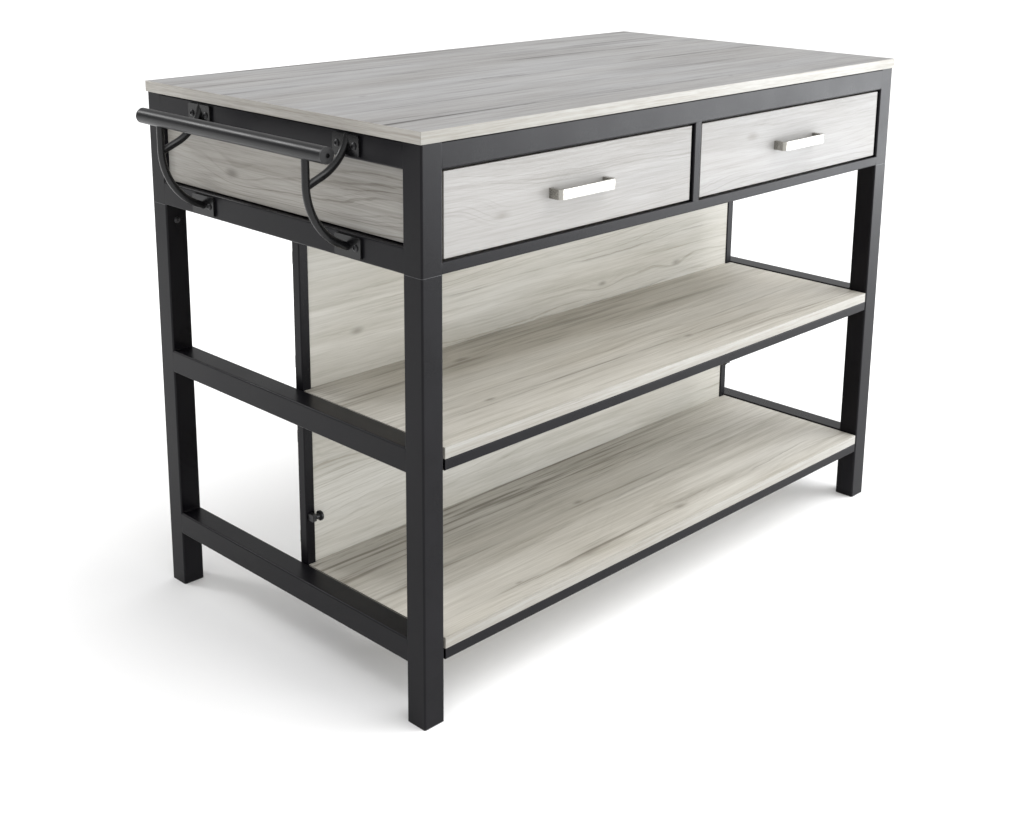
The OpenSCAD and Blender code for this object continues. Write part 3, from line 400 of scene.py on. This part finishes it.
class Oak(Paint):
    """Grey-washed oak. Its features are laid out along the grain and across it, whichever way that runs."""

    def __init__(self, name, grain, seed):
        super().__init__(name)
        board = self.mapped(self.place, turn=GRAIN_TURN[grain])
        parts = self.add("ShaderNodeSeparateXYZ", {"Vector": board}).outputs
        self.along = parts[0]
        self.across = self.math("ADD", parts[1], parts[2])
        self.seed = seed
        self.own_place = self.mapped(board, move=tuple(seed * step for step in OAK_SEED_STEP))
        # Short waves and long waves, which bend whatever is swayed by them
        self.ragged = self.cells(30.0, 90.0)
        self.wander = self.cells(1.1, 1.6, detail=1.0)

    def cells(self, along, across, detail=2.0, roughness=0.5):
        """Noise with so many cells in a metre along the grain, and so many across it."""
        place = self.mapped(self.own_place, scale=(along, across, across))
        return self.noise(place, detail, roughness)

    def swayed(self, onto, noise, amount):
        """onto, moved by the noise, as far as half the amount either way."""
        shifted = self.math("SUBTRACT", noise, 0.5)
        return self.math("MULTIPLY_ADD", shifted, amount, onto)

    def knots(self, listed):
        """How dark the knots make a place, and how far they push its lines across the grain.

        A knot is (along, across, size), and its rim is ragged.
        """
        length = self.math("MULTIPLY", self.along, KNOT_ALONG)
        here = self.add("ShaderNodeCombineXYZ", {"X": length, "Y": self.across}).outputs[0]
        dark = 0.0
        push = 0.0
        for along, across, size in listed:
            middle = (KNOT_ALONG * along, across, 0.0)
            distance = self.add("ShaderNodeVectorMath", {0: here, 1: middle}, operation="DISTANCE")
            away = self.swayed(distance.outputs["Value"], self.ragged, KNOT_RAGGED * size)
            own_push = self.spread(away, 0.0, KNOT_PUSH_REACH * size, KNOT_PUSH * size, 0.0)
            push = self.math("ADD", push, own_push)
            dark = self.math("MAXIMUM", dark, self.spread(away, 0.0, KNOT_REACH * size, KNOT_DARK, 0.0))
        return dark, push

    def staves(self, drifted):
        """Three random numbers for each stave, its fade from one side, and the distance to its joint."""
        counted = self.math("MULTIPLY_ADD", drifted, 1 / STAVE, self.seed * STAVE_SEED_STEP)
        inside = self.math("FRACT", counted)
        left_over = self.math("SUBTRACT", 1.0, inside)
        pick = self.add("ShaderNodeTexWhiteNoise", {"W": self.math("FLOOR", counted)}, noise_dimensions="1D")
        own = self.add("ShaderNodeSeparateColor", {"Color": pick.outputs["Color"]}).outputs
        wide_patch = self.spread(self.cells(1.5, 2.5), 0.36, 0.62)
        fade = self.product(self.math("POWER", left_over, STAVE_FADE_POWER), own[1], wide_patch)
        to_joint = self.math("MULTIPLY", self.math("MINIMUM", inside, left_over), STAVE)
        return own, fade, to_joint

    def stripes(self, bands, mottle, onto):
        """onto, made darker by stripes that run with the grain and waver. Some wide stripes are painted
        shade.

        A band is (across, half width, soft edge, strength, start of its fade, end of its fade).
        """
        wandering = self.swayed(self.across, self.wander, STRIPE_WANDER)
        wavering = self.swayed(wandering, self.ragged, STRIPE_RAGGED)
        for middle, half, soft, strength, fade_from, fade_to in bands:
            off = self.math("ABSOLUTE", self.math("SUBTRACT", wavering, middle))
            band = self.math("MULTIPLY", self.spread(off, half, half + soft, strength, 0.0), mottle)
            if fade_to != fade_from:
                band = self.math("MULTIPLY", band, self.spread(self.along, fade_from, fade_to, 1.0, 0.0))
            onto = self.math("MAXIMUM", onto, band)
        return onto

    def grain_lines(self, bent, pitch, own_start):
        """Lines that follow the contours of a field, which slopes across the stave and sways along it."""
        field = self.swayed(bent, self.cells(1.7, 8.0, detail=1.5), GRAIN_SWAY)
        start = self.math("MULTIPLY", own_start, GRAIN_START)
        counted = self.math("MULTIPLY_ADD", field, 1 / pitch, start)
        lines = self.spread(self.noise_line(counted, detail=2.0, roughness=0.6), 0.50, 0.72)
        strength = self.spread(self.cells(1.2, 6.0, detail=1.0), 0.38, 0.62, 0.2, 1.0)
        return self.math("MULTIPLY", lines, strength)


def grey_oak(name, grain, seed, tones, stave=1.0, streak=1.0, line=1.0, pitch=4.0 * MM, knots=(), bands=(),
             roughness=0.5):
    """Grey-washed oak in staves, each of its own tone, with sooty joints, arched grain lines and knots.

    tones are the colours of the wash, the bare wood and the soot. The soot's tone also paints the stripes
    that are painted shade.
    stave, streak and line say how strongly the staves, the streaks and the grain lines show. pitch is the
    step from one grain line to the next.
    knots and bands are as Oak.knots and Oak.stripes take them.
    """
    wash, bare, soot_and_shade_tone = tones
    oak = Oak(name, grain, seed)
    knot_dark, knot_push = oak.knots(knots)
    wandering = oak.swayed(oak.across, oak.wander, STAVE_WANDER)
    drifted = oak.swayed(wandering, oak.ragged, STAVE_RAGGED)
    own, fade, to_joint = oak.staves(drifted)
    bent = oak.math("ADD", drifted, knot_push)
    lines = oak.grain_lines(bent, pitch, own[2])

    # Soot lies in patches along some of the joints and in the stripes. The wide stripes that are painted
    # shade take the same patches and dark tone.
    patch = oak.cells(3.4, 34.0, detail=3.0, roughness=0.6)
    broken = oak.spread(oak.cells(2.8, 80.0, detail=3.0, roughness=0.6), 0.47, 0.68)
    at_joint = oak.spread(to_joint, SOOT_CORE, SOOT_REACH, 1.0, 0.0)
    own_soot = oak.spread(own[1], 0.25, 0.75, 0.0, 0.5 * streak)
    soot_and_painted_shade = oak.product(at_joint, oak.spread(patch, 0.46, 0.64), own_soot)
    mottle = oak.math("MULTIPLY_ADD", patch, 0.5, oak.math("MULTIPLY", broken, 0.35))
    mottle = oak.spread(mottle, 0.18, 0.62, 0.12, 1.45)
    soot_and_painted_shade = oak.math("MAXIMUM", oak.stripes(bands, mottle, soot_and_painted_shade), knot_dark)

    # What bares the wood under the wash, and how much. Milk is wash that lies thick, so it counts against it.
    cloud = oak.spread(oak.cells(1.9, 11.0, detail=3.0, roughness=0.6))
    fibre = oak.cells(9.0, 400.0, detail=3.0, roughness=0.65)
    ticks = oak.spread(oak.cells(20.0, 620.0, roughness=0.7), 0.54, 0.68)
    milk = oak.spread(oak.cells(2.6, 52.0, detail=3.0), 0.50, 0.74)
    shade = oak.math("MULTIPLY", own[0], 0.26 * stave)
    for part, share in ((fade, 0.36 * stave), (cloud, 0.26), (broken, 0.20 * streak), (lines, 0.30 * line),
                        (oak.spread(fibre), 0.20), (ticks, 0.12), (milk, -0.20)):
        shade = oak.math("MULTIPLY_ADD", part, share, shade)
    shade = oak.math("MAXIMUM", oak.math("MINIMUM", shade, 1.0), 0.0)
    colour = oak.mix(shade, wash, bare)
    colour = oak.mix(oak.spread(oak.cells(2.4, 9.0), 0.35, 0.65), colour, BLUSH, "MULTIPLY")
    # The dark tone paints both the soot and the painted shade of the wide stripes.
    colour = oak.mix(soot_and_painted_shade, colour, soot_and_shade_tone)

    relief = oak.math("SUBTRACT", fibre, oak.math("MULTIPLY", ticks, 0.8))
    relief = oak.math("MULTIPLY_ADD", lines, -0.5, relief)
    normal = oak.bump(relief, 0.12 * MM, 0.55)
    rough = oak.spread(fibre, 0.2, 0.8, roughness - 0.06, roughness + 0.10)
    return oak.finish(Base_Color=colour, Roughness=rough, Normal=normal, Specular_IOR_Level=0.25)


# ---------------------------------------------------------------- other materials

def floor_paint():
    paint = Paint("pale_floor")
    cloud = paint.noise(paint.place, detail=3.0, scale=0.6)
    colour = paint.mix(cloud, rgb(0.93, 0.93, 0.93), rgb(0.96, 0.96, 0.96))
    return paint.finish(Base_Color=colour, Roughness=0.8)


def edge_band(name, grain, light, dark, seed):
    """Printed edging: pale, with fine lines along it and no knots."""
    paint = Paint(name)
    start = tuple(seed * step for step in EDGE_SEED_STEP)
    board = paint.mapped(paint.place, move=start, turn=GRAIN_TURN[grain])
    streak = paint.noise(paint.mapped(board, scale=(5.0, 240.0, 240.0)), detail=3.0, roughness=0.7)
    fibre = paint.noise(paint.mapped(board, scale=(40.0, 900.0, 900.0)))
    cloud = paint.noise(paint.mapped(board, scale=(3.0, 20.0, 20.0)))
    shade = paint.math("MULTIPLY", paint.spread(streak, 0.35, 0.75), 0.5)
    shade = paint.math("MULTIPLY_ADD", paint.spread(cloud), 0.3, shade)
    shade = paint.math("MULTIPLY_ADD", paint.spread(fibre, 0.4, 0.7), 0.2, shade)
    colour = paint.mix(shade, light, dark)
    normal = paint.bump(streak, 0.06 * MM, 0.5)
    roughness = paint.spread(fibre, 0.2, 0.8, 0.42, 0.55)
    return paint.finish(Base_Color=colour, Roughness=roughness, Normal=normal)


def plain_board():
    """Pale melamine of the drawer boxes and of the boards that carry the slides."""
    paint = Paint("pale_board")
    flecks = paint.noise(paint.place, detail=4.0, roughness=0.7, scale=190.0)
    cloud = paint.noise(paint.place, scale=6.0)
    colour = paint.mix(paint.spread(flecks, 0.3, 0.75), rgb(0.60, 0.56, 0.49), rgb(0.48, 0.44, 0.37))
    colour = paint.mix(paint.math("MULTIPLY", cloud, 0.35), colour, rgb(0.68, 0.64, 0.57))
    normal = paint.bump(flecks, 0.05 * MM, 0.5)
    roughness = paint.spread(flecks, 0.2, 0.8, 0.5, 0.62)
    return paint.finish(Base_Color=colour, Roughness=roughness, Normal=normal)


def powder_coat(name, colour, roughness, peel=1.0, specular=0.5):
    """Satin powder coat: fine orange peel, with a slow change of tone and gloss, and a few pale specks."""
    paint = Paint(name)
    cloud = paint.noise(paint.place, detail=3.0, scale=9.0)
    grit = paint.noise(paint.place, roughness=0.6, scale=1500.0)
    swell = paint.noise(paint.place, scale=420.0)
    tone = paint.mix(paint.spread(cloud), shaded(colour, 0.86), shaded(colour, 1.16))
    tone = paint.mix(paint.spread(grit, 0.62, 0.78, 0.0, 0.12), tone, shaded(colour, 2.6))
    fine_gloss = paint.spread(grit, to_low=roughness - 0.03, to_high=roughness + 0.05)
    gloss = paint.math("ADD", paint.spread(cloud, to_low=-0.03, to_high=0.03), fine_gloss)
    normal = paint.bump(swell, 0.03 * MM * peel, 0.6)
    normal = paint.bump(grit, 0.012 * MM * peel, 0.6, normal)
    return paint.finish(Base_Color=tone, Roughness=gloss, Normal=normal, Specular_IOR_Level=specular)


def brushed_metal(name, colour, roughness, cells=(8.0, 1300.0, 1300.0)):
    """Plated or brushed metal. Its fine lines have so many cells in a metre along each axis."""
    paint = Paint(name)
    lines = paint.noise(paint.mapped(paint.place, scale=cells), detail=3.0, roughness=0.7)
    cloud = paint.noise(paint.place, scale=30.0)
    tone = paint.mix(paint.spread(lines), shaded(colour, 0.95), rgb(*colour))
    tone = paint.mix(paint.math("MULTIPLY", cloud, 0.2), tone, shaded(colour, 0.9))
    gloss = paint.spread(lines, 0.25, 0.75, roughness - 0.06, roughness + 0.08)
    normal = paint.bump(lines, 0.01 * MM, 0.5)
    return paint.finish(Base_Color=tone, Metallic=1.0, Roughness=gloss, Normal=normal)


def moulded_plastic():
    paint = Paint("black_plastic")
    grit = paint.noise(paint.place, detail=3.0, scale=1100.0)
    cloud = paint.noise(paint.place, scale=25.0)
    tone = paint.mix(cloud, rgb(0.010, 0.010, 0.011), rgb(0.020, 0.020, 0.021))
    gloss = paint.spread(grit, to_low=0.42, to_high=0.58)
    normal = paint.bump(grit, 0.02 * MM, 0.6)
    return paint.finish(Base_Color=tone, Roughness=gloss, Normal=normal)


def black_oxide():
    """Finish of the bolts and screws that show."""
    paint = Paint("black_oxide")
    grit = paint.noise(paint.place, detail=3.0, scale=900.0)
    cloud = paint.noise(paint.place, scale=60.0)
    tone = paint.mix(cloud, rgb(0.012, 0.012, 0.013), rgb(0.030, 0.030, 0.032))
    gloss = paint.spread(grit, to_low=0.26, to_high=0.42)
    normal = paint.bump(grit, 0.01 * MM, 0.5)
    return paint.finish(Base_Color=tone, Metallic=0.35, Roughness=gloss, Normal=normal)


# ---------------------------------------------------------------- meshes

def link_mesh(name, shape, materials, body, stands_for=()):
    """A piece made from a bmesh. It rides on its body and stands for the given nodes."""
    mesh = bpy.data.meshes.new(name)
    shape.to_mesh(mesh)
    shape.free()
    for material in materials:
        mesh.materials.append(material)
    piece = bpy.data.objects.new(name, mesh)
    bpy.context.scene.collection.objects.link(piece)
    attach(piece, body)
    if stands_for:
        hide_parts(*stands_for)
    return piece


def smooth_arrises(shape):
    """Round bevels shade smoothly and sharp edges stay sharp."""
    sharp = math.radians(40)
    shape.normal_update()
    for face in shape.faces:
        face.smooth = True
    for edge in shape.edges:
        if len(edge.link_faces) == 2 and edge.calc_face_angle() > sharp:
            edge.smooth = False


def keep_faces_flat(piece):
    piece.modifiers.new("even_shading", "WEIGHTED_NORMAL").keep_sharp = True


def soften(piece, width):
    """Rounds the sharp arrises of a CAD node a little."""
    piece.modifiers.new("join_seams", "WELD").merge_threshold = 0.001 * MM
    bevel = piece.modifiers.new("arrises", "BEVEL")
    bevel.width = width
    bevel.segments = 2
    bevel.limit_method = "ANGLE"
    bevel.angle_limit = math.radians(50)
    keep_faces_flat(piece)


def add_box(shape, low, high, arris, edge_axes=""):
    """A box with rounded arrises. Faces that look along one of edge_axes take the second material."""
    low, high = Vector(low), Vector(high)
    made = bmesh.ops.create_cube(shape, size=1.0)["verts"]
    for vert in made:
        vert.co = Vector(low[i] + (vert.co[i] + 0.5) * (high[i] - low[i]) for i in range(3))
    for face in {face for vert in made for face in vert.link_faces}:
        steepest = max(range(3), key=lambda axis: abs(face.normal[axis]))
        face.material_index = 1 if "XYZ"[steepest] in edge_axes else 0
    edges = list({edge for vert in made for edge in vert.link_edges})
    bmesh.ops.bevel(shape, geom=edges, offset=arris, segments=3, profile=0.5, affect="EDGES",
                    clamp_overlap=True)


def add_prism(shape, outline, foot, head, arris):
    """An outline in X and Y, drawn up from foot to head, with rounded arrises."""
    bottom = shape.faces.new([shape.verts.new((x, y, foot)) for x, y in outline])
    bmesh.ops.recalc_face_normals(shape, faces=[bottom])
    drawn = bmesh.ops.extrude_face_region(shape, geom=[bottom])["geom"]
    raised = [item for item in drawn if isinstance(item, bmesh.types.BMVert)]
    bmesh.ops.translate(shape, verts=raised, vec=(0, 0, head - foot))
    faces = {face for vert in list(bottom.verts) + raised for face in vert.link_faces}
    bmesh.ops.recalc_face_normals(shape, faces=list(faces))
    edges = list({edge for face in faces for edge in face.edges})
    bmesh.ops.bevel(shape, geom=edges, offset=arris, segments=2, profile=0.5, affect="EDGES")


def rounded_square(half, radius, steps=4):
    """Points of a square with round corners, anticlockwise."""
    points = []
    for turn, (sx, sy) in enumerate(((1, 1), (-1, 1), (-1, -1), (1, -1))):
        for step in range(steps + 1):
            angle = math.pi / 2 * (turn + step / steps)
            points.append((sx * (half - radius) + radius * math.cos(angle),
                           sy * (half - radius) + radius * math.sin(angle)))
    return points


def add_collar(shape, at, along, half, radius, length):
    """A short length of a square bar with round corners, from a point along an axis."""
    turn = Vector(along).to_track_quat("Z", "Y").to_matrix()
    outline = rounded_square(half, radius)
    near, far = ([shape.verts.new(Vector(at) + turn @ Vector((x, y, reach))) for x, y in outline]
                 for reach in (0.0, length))
    for i in range(len(outline)):
        j = (i + 1) % len(outline)
        shape.faces.new((near[i], near[j], far[j], far[i]))
    shape.faces.new(list(reversed(near)))
    shape.faces.new(far)


def add_ground_weld(shape, at, out, half, radius, corner=TUBE_R):
    """Weld ground flush where a rail meets another tube: the rail's outline runs on over its round corner."""
    out = Vector(out)
    add_collar(shape, Vector(at) - out * WELD_BACK, out, half - WELD_SKIN, radius, corner + WELD_PAST)


def add_bead(shape, start, end, out_a, out_b):
    """Weld bead in the corner between two faces, with a slightly uneven, hollow surface."""
    start, end, out_a, out_b = (Vector(v) for v in (start, end, out_a, out_b))
    rings = []
    for step in range(BEAD_STEPS + 1):
        middle = start.lerp(end, step / BEAD_STEPS)
        size = BEAD_SIZE * random.uniform(1 - BEAD_UNEVEN, 1 + BEAD_UNEVEN)
        corners = ((out_a + out_b) * -BEAD_SINK, out_a * size - out_b * BEAD_SINK,
                   (out_a + out_b) * size * BEAD_HOLLOW, out_b * size - out_a * BEAD_SINK)
        rings.append([shape.verts.new(middle + corner) for corner in corners])
    for near, far in zip(rings, rings[1:]):
        for i in range(4):
            j = (i + 1) % 4
            shape.faces.new((near[i], near[j], far[j], far[i]))
    shape.faces.new(list(reversed(rings[0])))
    shape.faces.new(rings[-1])


# ---------------------------------------------------------------- steel trim

def middle_z(node):
    low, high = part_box(node)
    return (low.z + high.z) / 2


def make_welds(steel):
    """Ground welds at the ends of the rails, and beads over and under the legs' side rails."""
    ground = bmesh.new()
    beads = bmesh.new()
    leg_low, leg_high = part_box("front_left_leg")
    side = leg_high.x - leg_low.x
    half = side / 2
    low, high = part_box("corner_posts")
    # Faces of the posts that the rails butt against, each with the way into its post
    x_ends = ((low.x + side, -1), (high.x - side, 1))
    y_ends = ((low.y + side, -1), (high.y - side, 1))
    left_x, right_x = low.x + half, high.x - half
    front_y, rear_y = low.y + half, high.y - half

    for x, name in ((left_x, "left"), (right_x, "right")):
        rails_low, rails_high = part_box(name + "_side_rails")
        leg_rails = [rails_high.z - half, rails_low.z + half]
        apron_rails = [middle_z(name + "_top_rail"), middle_z(name + "_bottom_rail")]
        for y, out in y_ends:
            for z in apron_rails + leg_rails:
                add_ground_weld(ground, (x, y, z), (0, out, 0), half, TUBE_R)
            for z in leg_rails:
                for up in (-1, 1):
                    edge = z + up * half
                    add_bead(beads, (x - BEAD_LENGTH / 2, y, edge), (x + BEAD_LENGTH / 2, y, edge),
                             (0, -out, 0), (0, 0, up))
    for node, y in (("front_top_rail", front_y), ("rear_top_rail", rear_y), ("rear_bottom_rail", rear_y)):
        for x, out in x_ends:
            add_ground_weld(ground, (x, y, middle_z(node)), (out, 0, 0), half, TUBE_R)
    slim_low, slim_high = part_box("front_bottom_rail")
    thin = (slim_high.z - slim_low.z) / 2
    for x, out in x_ends:
        add_ground_weld(ground, (x, slim_low.y + thin, slim_low.z + thin), (out, 0, 0), thin, SLIM_R)
    foot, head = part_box("mullion")
    x, y = (foot.x + head.x) / 2, (foot.y + head.y) / 2
    add_ground_weld(ground, (x, y, head.z), (0, 0, 1), thin, SLIM_R)
    add_ground_weld(ground, (x, y, foot.z), (0, 0, -1), thin, SLIM_R, corner=SLIM_R)

    for name, shape in (("ground_welds", ground), ("weld_beads", beads)):
        bmesh.ops.recalc_face_normals(shape, faces=list(shape.faces))
        smooth_arrises(shape)
        link_mesh(name, shape, [steel], "frame")


def make_joint_rims(steel):
    """Rims at the tube joints, coloured paler than the steel as a painted highlight, which shows as a fine
    pale line where each leg meets its post.
    """
    shape = bmesh.new()
    for name in ("front_left_leg", "front_right_leg", "rear_left_leg", "rear_right_leg"):
        low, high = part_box(name)
        middle = ((low.x + high.x) / 2, (low.y + high.y) / 2, high.z - RIM_UNDER)
        half = (high.x - low.x) / 2 + RIM_PROUD
        add_collar(shape, middle, (0, 0, 1), half, TUBE_R, RIM_HEIGHT)
    smooth_arrises(shape)
    link_mesh("joint_rims", shape, [steel], "frame")


# ---------------------------------------------------------------- boards

def make_board(node, paints, body="frame", edge_axes="", arris=PANEL_ARRIS):
    """A plain board in a node's place. Its faces along edge_axes take the second of its paints."""
    low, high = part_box(node)
    shape = bmesh.new()
    add_box(shape, low, high, arris, edge_axes)
    smooth_arrises(shape)
    keep_faces_flat(link_mesh(node + "_board", shape, paints, body, [node]))


def make_notched_board(node, paints):
    """A shelf whose rear corners are cut out round the back posts. Its ends take the second paint."""
    low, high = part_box(node)
    post_low, post_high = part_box("left_back_post")
    cut_x = post_high.x - low.x + BOARD_GAP
    cut_y = post_low.y - BOARD_GAP
    left, right = low.x, high.x
    outline = [(left, low.y), (right, low.y), (right, cut_y), (right - cut_x, cut_y),
               (right - cut_x, high.y), (left + cut_x, high.y), (left + cut_x, cut_y), (left, cut_y)]
    shape = bmesh.new()
    add_prism(shape, outline, low.z, high.z, HIDDEN_ARRIS)
    shape.normal_update()
    for face in shape.faces:
        face.material_index = 1 if abs(face.normal.x) > 0.9 else 0
    smooth_arrises(shape)
    keep_faces_flat(link_mesh(node + "_board", shape, paints, "frame", [node]))


def make_edge_strips(along_x, along_y):
    """Strips on the worktop's edges and along the front of the shelves."""
    low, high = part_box("worktop")
    outer_low, outer_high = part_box("edge_strips")
    shape = bmesh.new()
    for front, rear in ((outer_low.y, low.y), (high.y, outer_high.y)):
        add_box(shape, (outer_low.x, front, low.z), (outer_high.x, rear, high.z), STRIP_ARRIS)
    for node in SHELVES:
        shelf_low, shelf_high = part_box(node)
        front = shelf_low.y - (low.y - outer_low.y)
        add_box(shape, (shelf_low.x, front, shelf_low.z), (shelf_high.x, shelf_low.y, shelf_high.z),
                STRIP_ARRIS)
    long_strips = len(shape.faces)
    for left, right in ((outer_low.x, low.x), (high.x, outer_high.x)):
        add_box(shape, (left, low.y, low.z), (right, high.y, high.z), STRIP_ARRIS)
    shape.faces.ensure_lookup_table()
    for face in shape.faces[long_strips:]:
        face.material_index = 1
    smooth_arrises(shape)
    link_mesh("edge_strip_set", shape, [along_x, along_y], "frame", ["edge_strips"])


def bands_on(node, stripes):
    """The stripes of a lying board, with its grain along X, as the wood's material counts them."""
    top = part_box(node)[1].z
    bands = []
    for y, half, soft, strength, *fade in stripes:
        across = wood_place((0.0, y, top), "X")[1]
        bands.append((across, half * MM, soft * MM, strength, *(fade or (0.0, 0.0))))
    return bands


def make_worktop(edge):
    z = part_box("worktop")[1].z
    knots = [wood_place((x, y, z), "X") + (TOP_KNOT_SIZE,) for x, y in TOP_KNOTS]
    oak = grey_oak("oak_worktop", "X", TOP_SEED, OAK_TOP, stave=0.6, streak=1.1, line=0.8, knots=knots,
                   bands=bands_on("worktop", TOP_STRIPES), roughness=0.48)
    make_board("worktop", [oak, edge], arris=HIDDEN_ARRIS)


def make_shelves(edge):
    for node, (seed, marks, stripes) in SHELVES.items():
        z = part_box(node)[1].z
        knots = [wood_place((x, y, z), "X") + (size,) for x, y, size in marks]
        oak = grey_oak("oak_" + node, "X", seed, OAK_SHELF, stave=0.5, line=0.9, knots=knots,
                       bands=bands_on(node, stripes))
        make_notched_board(node, [oak, edge])


def make_back_panels(edge):
    for node, (seed, marks) in BACK_PANELS.items():
        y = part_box(node)[0].y
        knots = [wood_place((x, y, z), "X") + (size,) for x, z, size in marks]
        oak = grey_oak("oak_" + node, "X", seed, OAK_BACK, stave=0.4, line=1.2, pitch=5.0 * MM, knots=knots)
        make_board(node, [oak, edge], edge_axes="XZ")


def make_apron_panels():
    for node, (grain, seed, mark) in APRON_PANELS.items():
        knots = [wood_place(mark, grain) + (APRON_KNOT_SIZE,)]
        oak = grey_oak("oak_" + node, grain, seed, OAK_SIDE, stave=0.4, line=1.4, pitch=5.5 * MM,
                       knots=knots)
        make_board(node, [oak])


def make_drawer_fronts(edge):
    for side, (seed, (x, z)) in DRAWER_FRONTS.items():
        node = side + "_drawer_front"
        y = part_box(node)[0].y
        knots = [wood_place((x, y, z), "X") + (FRONT_KNOT_SIZE,)]
        oak = grey_oak("oak_" + node, "X", seed, OAK_FRONT, stave=0.2, streak=0.4, line=0.9, knots=knots)
        make_board(node, [oak, edge], body=side + "_drawer", edge_axes="XZ")


def make_boards():
    edge_x = edge_band("edge_band_x", "X", *EDGE_ALONG_X, seed=3)
    edge_y = edge_band("edge_band_y", "Y", *EDGE_ALONG_Y, seed=5)
    make_worktop(edge_x)
    make_shelves(edge_y)
    make_back_panels(edge_x)
    make_apron_panels()
    make_drawer_fronts(edge_x)
    make_edge_strips(edge_x, edge_y)


# ---------------------------------------------------------------- nodes that stay

def paint_node(name, paint):
    for place in nodes[name].material_slots:
        place.material = paint


def dress_nodes(steel):
    """Every node takes the material of its slot, or its own where that is finer."""
    paints = {
        "black_steel": steel,
        "edge_band": edge_band("edge_band", "X", *EDGE_ALONG_X, seed=2),
        "grey_oak": grey_oak("grey_oak", "X", seed=2, tones=OAK_SHELF),
        "pale_board": plain_board(),
        "zinc_steel": brushed_metal("zinc_steel", ZINC, roughness=0.34, cells=(1300.0, 9.0, 1300.0)),
        "satin_nickel": brushed_metal("satin_nickel", NICKEL, roughness=0.25),
        "black_plastic": moulded_plastic(),
        "gunmetal_tube": powder_coat("gunmetal_tube", GUNMETAL, roughness=0.34, peel=0.25, specular=0.30),
        "black_oxide": black_oxide(),
    }
    for node in nodes.values():
        for place in node.material_slots:
            place.material = paints[place.material.name.split(".")[0]]
    bracket = powder_coat("bracket_coat", BRACKET, roughness=0.26, peel=0.6, specular=0.35)
    paint_node("front_towel_bracket", bracket)
    paint_node("rear_towel_bracket", bracket)
    soften(nodes["left_drawer_pull"], PULL_ARRIS)
    soften(nodes["right_drawer_pull"], PULL_ARRIS)


make_camera()
make_light()
make_floor()
black_steel = powder_coat("black_steel", STEEL, roughness=0.31, specular=0.15)
dress_nodes(black_steel)
make_welds(black_steel)
# The rims' paler coat is a painted highlight along each leg joint.
make_joint_rims(powder_coat("rim_painted_highlight", RIM_HIGHLIGHT_STEEL, roughness=0.40))
make_boards()
